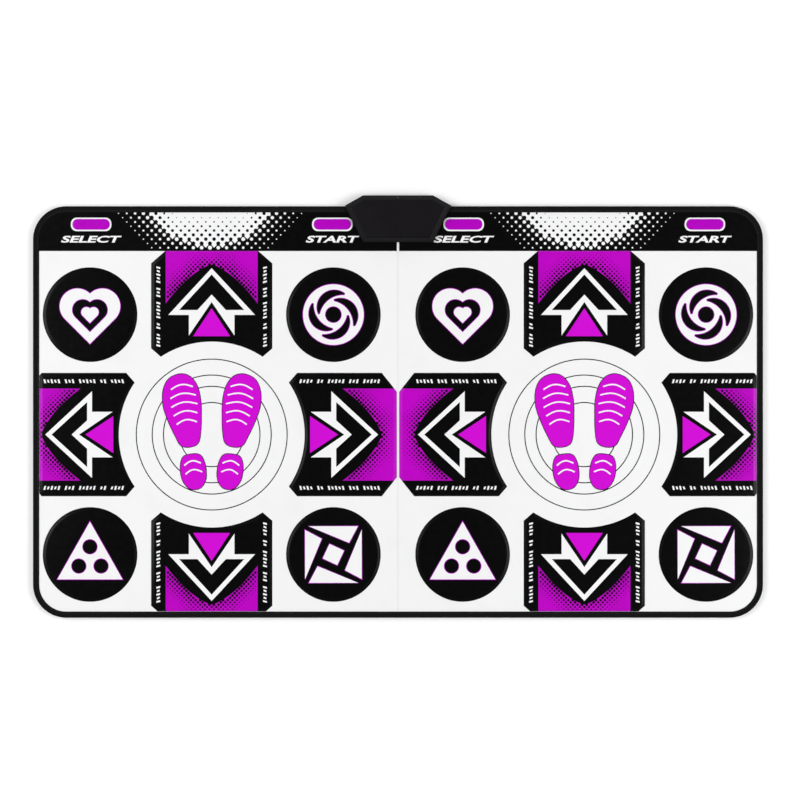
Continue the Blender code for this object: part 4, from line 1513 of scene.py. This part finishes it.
def screw_measures(node):
    """The heights of a screw's tip, seat and crown, and the radii of its shank and its head."""
    centre = box_middle(node)
    reaches = {}
    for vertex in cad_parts[node].data.vertices:
        level = round(vertex.co.z, MERGE_DIGITS)
        reach = math.hypot(vertex.co.x - centre.x, vertex.co.y - centre.y)
        reaches[level] = max(reaches.get(level, 0.0), reach)
    levels = sorted(reaches)
    if reaches[levels[0]] > reaches[levels[-1]]:
        levels.reverse()
    tip, *_, seat, crown = levels
    return tip, seat, crown, reaches[tip], reaches[crown]


def screw_row(radii, height):
    """Corners round a screw's axis, each at its own radius."""
    return [(radius * x, radius * y, height) for radius, (x, y) in zip(radii, circle(0, 0, 1, SCREW_STEPS))]


def threaded_screw(name, node, recess_width, pitch, metal):
    """A screw with a helical thread and a cross recess in its head, along its CAD node's axis."""
    tip, seat, crown, shank, head = screw_measures(node)
    up = 1 if crown > tip else -1
    dome = up * head * HEAD_DOME
    point = [(shank * radius, tip + up * shank * height) for radius, height in SCREW_POINT]
    cap = [
        (shank * NECK_REACH, seat - up * NECK_END), (head * SEAT_REACH, seat), (head, seat + dome),
        (head, crown - dome), (head * CROWN_REACH, crown),
    ]
    rows = [screw_row([radius] * SCREW_STEPS, height) for radius, height in point]
    thread_rows = int(abs(seat - tip) / pitch * THREAD_ROWS)
    start, end = tip + up * shank * THREAD_START, seat - up * THREAD_END
    for height in np.linspace(start, end, thread_rows + 1):
        climb = abs(height - tip) / pitch
        phases = [(climb - k / SCREW_STEPS) % 1 for k in range(SCREW_STEPS)]
        rows.append(screw_row([shank * (1 - THREAD_DEPTH * abs(2 * phase - 1)) for phase in phases], height))
    rows += [screw_row([radius] * SCREW_STEPS, height) for radius, height in cap]
    bm = bmesh.new()
    rim = loft(bm, rows, closed_end=False)
    floor = crown - up * head * RECESS_DEPTH
    mouth = [bm.verts.new((x, y, crown)) for x, y in cross(head * RECESS_MOUTH, recess_width)]
    foot = [bm.verts.new((x, y, floor)) for x, y in cross(head * RECESS_FOOT, recess_width * RECESS_TAPER)]
    bmesh.ops.triangle_fill(bm, edges=ring_edges(bm, rim) + ring_edges(bm, mouth), use_beauty=True)
    join_rings(bm, mouth, foot)
    bm.faces.new(foot)
    mesh = finished_mesh(bm, name)
    centre = box_middle(node)
    mesh.transform(Matrix.Translation((centre.x, centre.y, 0)))
    soften(mesh, degrees=35)
    screw = new_object(name, mesh, [metal], "mat")
    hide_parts(node)


class DANCE_MAT_OT_screws(Operator):
    """Make the box screws and the clamp screws"""

    bl_idname = "dance_mat.screws"
    bl_label = "Screws"

    def execute(self, context):
        metal = plated_metal("zinc_plate", (0.62, 0.62, 0.64), roughness=0.28)
        for row in ("rear", "front"):
            for side in SIDES:
                threaded_screw(f"{row}_{side}_screw", f"{row}_{side}_box_screw", *BOX_SCREW, metal)
        for side in SIDES:
            threaded_screw(f"{side}_terminal_screw", f"{side}_clamp_screw", *CLAMP_SCREW, metal)
        return {"FINISHED"}


# The chip's legs. A bend is (distance out from the case, share of the way down to the board)
LEGS_PER_SIDE = 16
LEG_PITCH = 0.0008
LEG_WIDTH = 0.00036
LEG_THICKNESS = 0.00015
LEG_BENDS = ((-0.0002, 0), (0.0004, 0), (0.0007, 1), (0.0013, 1))


def chip_legs(metal):
    """Bent legs on the four sides of the controller chip, down to the board."""
    low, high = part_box("controller_chip")
    centre, half = (low + high) / 2, (high.x - low.x) / 2
    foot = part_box("circuit_board")[1].z + LEG_THICKNESS + NEAR
    bm = bmesh.new()
    for turn in QUARTER_TURNS:
        for i in range(LEGS_PER_SIDE):
            along = (i + 0.5 - LEGS_PER_SIDE / 2) * LEG_PITCH
            rows = []
            for out, share in LEG_BENDS:
                flat = [(half + out, along - LEG_WIDTH / 2), (half + out, along + LEG_WIDTH / 2)]
                left, right = placed(flat, centre, turn)
                top = centre.z + (foot - centre.z) * share
                under = top - LEG_THICKNESS
                rows.append([(*left, top), (*right, top), (*right, under), (*left, under)])
            loft(bm, rows)
    new_object("chip_legs", finished_mesh(bm, "chip_legs"), [metal], "mat")


class DANCE_MAT_OT_electronics(Operator):
    """Finish the board, what stands on it, the clamp and the status light"""

    bl_idname = "dance_mat.electronics"
    bl_label = "Electronics"

    def execute(self, context):
        finishes = {
            "circuit_board": solder_mask(),
            "status_lamp": clear_resin("lamp_resin", (0.85, 0.12, 0.06), roughness=0.2),
            "light_guide": clear_resin("guide_resin", (0.86, 0.88, 0.92), roughness=0.12),
        }
        for node, material in finishes.items():
            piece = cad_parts[node]
            piece.data.materials.clear()
            piece.data.materials.append(material)
        resin = moulded_plastic("chip_resin", (0.010, 0.010, 0.011), grain=0.000006)
        sleeve = moulded_plastic("capacitor_sleeve", (0.014, 0.013, 0.018), grain=0.000004)
        clamp = moulded_plastic("clamp_plastic", (0.70, 0.70, 0.67), grain=0.00001)
        block = moulded_plastic("block_plastic", (0.55, 0.56, 0.56), grain=0.00001)
        tin = plated_metal("tin_plate", (0.66, 0.66, 0.67), roughness=0.22)
        rounded_copy("chip_case", "controller_chip", 0.0002, 2, resin)
        rounded_copy("capacitor_can", "supply_capacitor", 0.0006, 3, sleeve)
        rounded_copy("crystal_can", "clock_crystal", 0.0011, 4, tin)
        rounded_copy("clamp_bar", "tail_clamp_bar", 0.0004, 3, clamp)
        rounded_copy("terminal_block", "contact_block", 0.0003, 2, block)
        chip_legs(tin)
        return {"FINISHED"}


# The socket's four contact strips lie under its tongue
CONTACT_STEPS = (-1.5, -0.5, 0.5, 1.5)
CONTACT_PITCH = 0.0016
CONTACT_SIZE = (0.0008, 0.0060, 0.00008)
CONTACT_INSET = 0.0045
CONTACT_SINK = 0.00002
CONTACT_EDGE = 0.00003


class DANCE_MAT_OT_socket(Operator):
    """Make the lead socket and its contact strips"""

    bl_idname = "dance_mat.socket"
    bl_label = "Lead Socket"

    def execute(self, context):
        metal = plated_metal("socket_plate", (0.60, 0.60, 0.62), roughness=0.25)
        gold = plated_metal("gold_flash", (0.78, 0.52, 0.16), roughness=0.2)
        rounded_copy("socket_shell", "lead_socket", 0.0002, 2, metal)
        low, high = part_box("lead_socket")
        heights = {round(vertex.co.z, MERGE_DIGITS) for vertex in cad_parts["lead_socket"].data.vertices}
        tongue_low = sorted(heights)[2]
        bm = bmesh.new()
        for step in CONTACT_STEPS:
            x = (low.x + high.x) / 2 + step * CONTACT_PITCH
            strip = bmesh.ops.create_cube(bm, size=1.0)["verts"]
            bmesh.ops.scale(bm, verts=strip, vec=CONTACT_SIZE)
            bmesh.ops.translate(bm, verts=strip, vec=(x, high.y - CONTACT_INSET, tongue_low - CONTACT_SINK))
        bmesh.ops.bevel(bm, geom=bm.edges[:], offset=CONTACT_EDGE, segments=1, affect="EDGES")
        mesh = finished_mesh(bm, "socket_contacts")
        soften(mesh)
        new_object("socket_contacts", mesh, [gold], "mat")
        return {"FINISHED"}


# The studio

# The floor is flat within its reach and rises past it. Its rings are shares of that reach
FLOOR_REACH = 14.0
FLOOR_RISE = 5.0
FLOOR_RINGS = (0.02, 1, 1.15, 1.25, 1.3)
FLOOR_STEPS = 64
FLOOR_DROP = 0.0002
FLOOR_WHITE = (0.90, 0.90, 0.90)
FLOOR_GLOW = (0.16, 0.62)
GLOW_START = 0.8

# The sky's light falls from the first share of its strength to the second between these heights
SKY_HEIGHTS = (0.3, 0.95)
SKY_SHARES = (1.75, 0.25)

# The right lamp. The left one stands opposite
LAMP_PLACE = (3.4, -0.5, 3.0)
LAMP_SIZE = 2.4

# What the camera looks straight down at
VIEW_MIDDLE = (0.0045, 0.0151)


def pale_floor():
    """White floor that keeps the mat's shadow.

    Its glow makes up for the lamps far out. Only the camera, reflections and clear pieces show it.
    """
    surface = Surface("pale_floor", roughness=0.9, specular=0.0)
    path = surface.node("LightPath", {}).outputs
    seen = surface.math("MAXIMUM", path["Is Camera Ray"], path["Is Glossy Ray"])
    seen = surface.math("MAXIMUM", seen, path["Is Transmission Ray"])
    away = surface.vector("LENGTH", surface.place)["Value"]
    glow = surface.ranged(away, GLOW_START, FLOOR_REACH / 2, *FLOOR_GLOW)
    surface.colour(FLOOR_WHITE)
    surface.shader.inputs["Emission Color"].default_value = (1, 1, 1, 1)
    surface.feed(surface.shader.inputs["Emission Strength"], surface.math("MULTIPLY", seen, glow))
    return surface.material


def soft_sky(strength):
    """White light from all round, stronger near the horizon than overhead."""
    world = bpy.data.worlds.new("studio")
    world.use_nodes = True
    nodes, links = world.node_tree.nodes, world.node_tree.links
    direction = nodes.new("ShaderNodeTexCoord")
    split = nodes.new("ShaderNodeSeparateXYZ")
    fade = nodes.new("ShaderNodeMapRange")
    fade.interpolation_type = "SMOOTHSTEP"
    for end, height, share in zip(("Min", "Max"), SKY_HEIGHTS, SKY_SHARES):
        fade.inputs[f"From {end}"].default_value = height
        fade.inputs[f"To {end}"].default_value = share * strength
    links.new(direction.outputs["Generated"], split.inputs["Vector"])
    links.new(split.outputs["Z"], fade.inputs["Value"])
    links.new(fade.outputs["Result"], nodes["Background"].inputs["Strength"])
    nodes["Background"].inputs["Color"].default_value = (1, 1, 1, 1)
    return world


def studio_floor():
    """A wide floor whose rim curves up, far out on every side."""
    rows = []
    for share in FLOOR_RINGS:
        climb = max(0.0, (share - 1) / (FLOOR_RINGS[-1] - 1)) ** 2
        height = FLOOR_RISE * climb - FLOOR_DROP
        rows.append([(x, y, height) for x, y in circle(0, 0, FLOOR_REACH * share, FLOOR_STEPS)])
    bm = bmesh.new()
    loft(bm, rows, closed_end=False)
    mesh = finished_mesh(bm, "studio_floor")
    mesh.shade_smooth()
    mesh.materials.append(pale_floor())
    floor = bpy.data.objects.new("studio_floor", mesh)
    bpy.context.scene.collection.objects.link(floor)


def add_lamp(name, location, power):
    """A large square lamp that looks at the middle of the mat."""
    data = bpy.data.lights.new(name, "AREA")
    data.size = LAMP_SIZE
    data.energy = power
    lamp = bpy.data.objects.new(name, data)
    lamp.location = location
    lamp.rotation_euler = (-Vector(location)).to_track_quat("-Z", "Y").to_euler()
    bpy.context.scene.collection.objects.link(lamp)


class DANCE_MAT_OT_studio(Operator):
    """Make the floor, the lamps, the world's light and the camera"""

    bl_idname = "dance_mat.studio"
    bl_label = "Studio"

    def execute(self, context):
        sizes = context.scene.dance_mat.studio
        studio_floor()
        x, y, z = LAMP_PLACE
        for side, sign in SIDES.items():
            add_lamp(f"{side}_lamp", (sign * x, sign * y, z), sizes.lamp_power)
        context.scene.world = soft_sky(sizes.sky)
        camera_data = bpy.data.cameras.new("camera")
        camera_data.lens = sizes.lens
        camera = bpy.data.objects.new("camera", camera_data)
        distance = sizes.view_width * sizes.lens / camera_data.sensor_width
        camera.location = (*VIEW_MIDDLE, COVER_TOP + distance)
        context.scene.collection.objects.link(camera)
        context.scene.camera = camera
        context.scene.view_settings.view_transform = "Standard"
        return {"FINISHED"}


OPERATORS = (
    DANCE_MAT_OT_cover,
    DANCE_MAT_OT_arrow_pads,
    DANCE_MAT_OT_disc_pads,
    DANCE_MAT_OT_buttons,
    DANCE_MAT_OT_binding,
    DANCE_MAT_OT_centre_seam,
    DANCE_MAT_OT_layers,
    DANCE_MAT_OT_box_shells,
    DANCE_MAT_OT_screws,
    DANCE_MAT_OT_electronics,
    DANCE_MAT_OT_socket,
    DANCE_MAT_OT_studio,
)


class VIEW3D_PT_dance_mat(Panel):
    """The buttons that make each piece"""

    bl_label = "Dance Mat"
    bl_space_type = "VIEW_3D"
    bl_region_type = "UI"
    bl_category = "Dance Mat"

    def draw(self, context):
        for operator in OPERATORS:
            self.layout.operator(operator.bl_idname)


SETTINGS = (InkColours, PrintSizes, SewingSizes, BoxSizes, StudioSizes, DanceMatSettings)
CLASSES = (*SETTINGS, *OPERATORS, VIEW3D_PT_dance_mat)


def register():
    for item in CLASSES:
        bpy.utils.register_class(item)
    bpy.types.Scene.dance_mat = PointerProperty(type=DanceMatSettings)


def unregister():
    del bpy.types.Scene.dance_mat
    for item in reversed(CLASSES):
        bpy.utils.unregister_class(item)


def main():
    register()
    for operator in OPERATORS:
        group, name = operator.bl_idname.split(".")
        getattr(getattr(bpy.ops, group), name)()


if __name__ == "__main__":
    main()
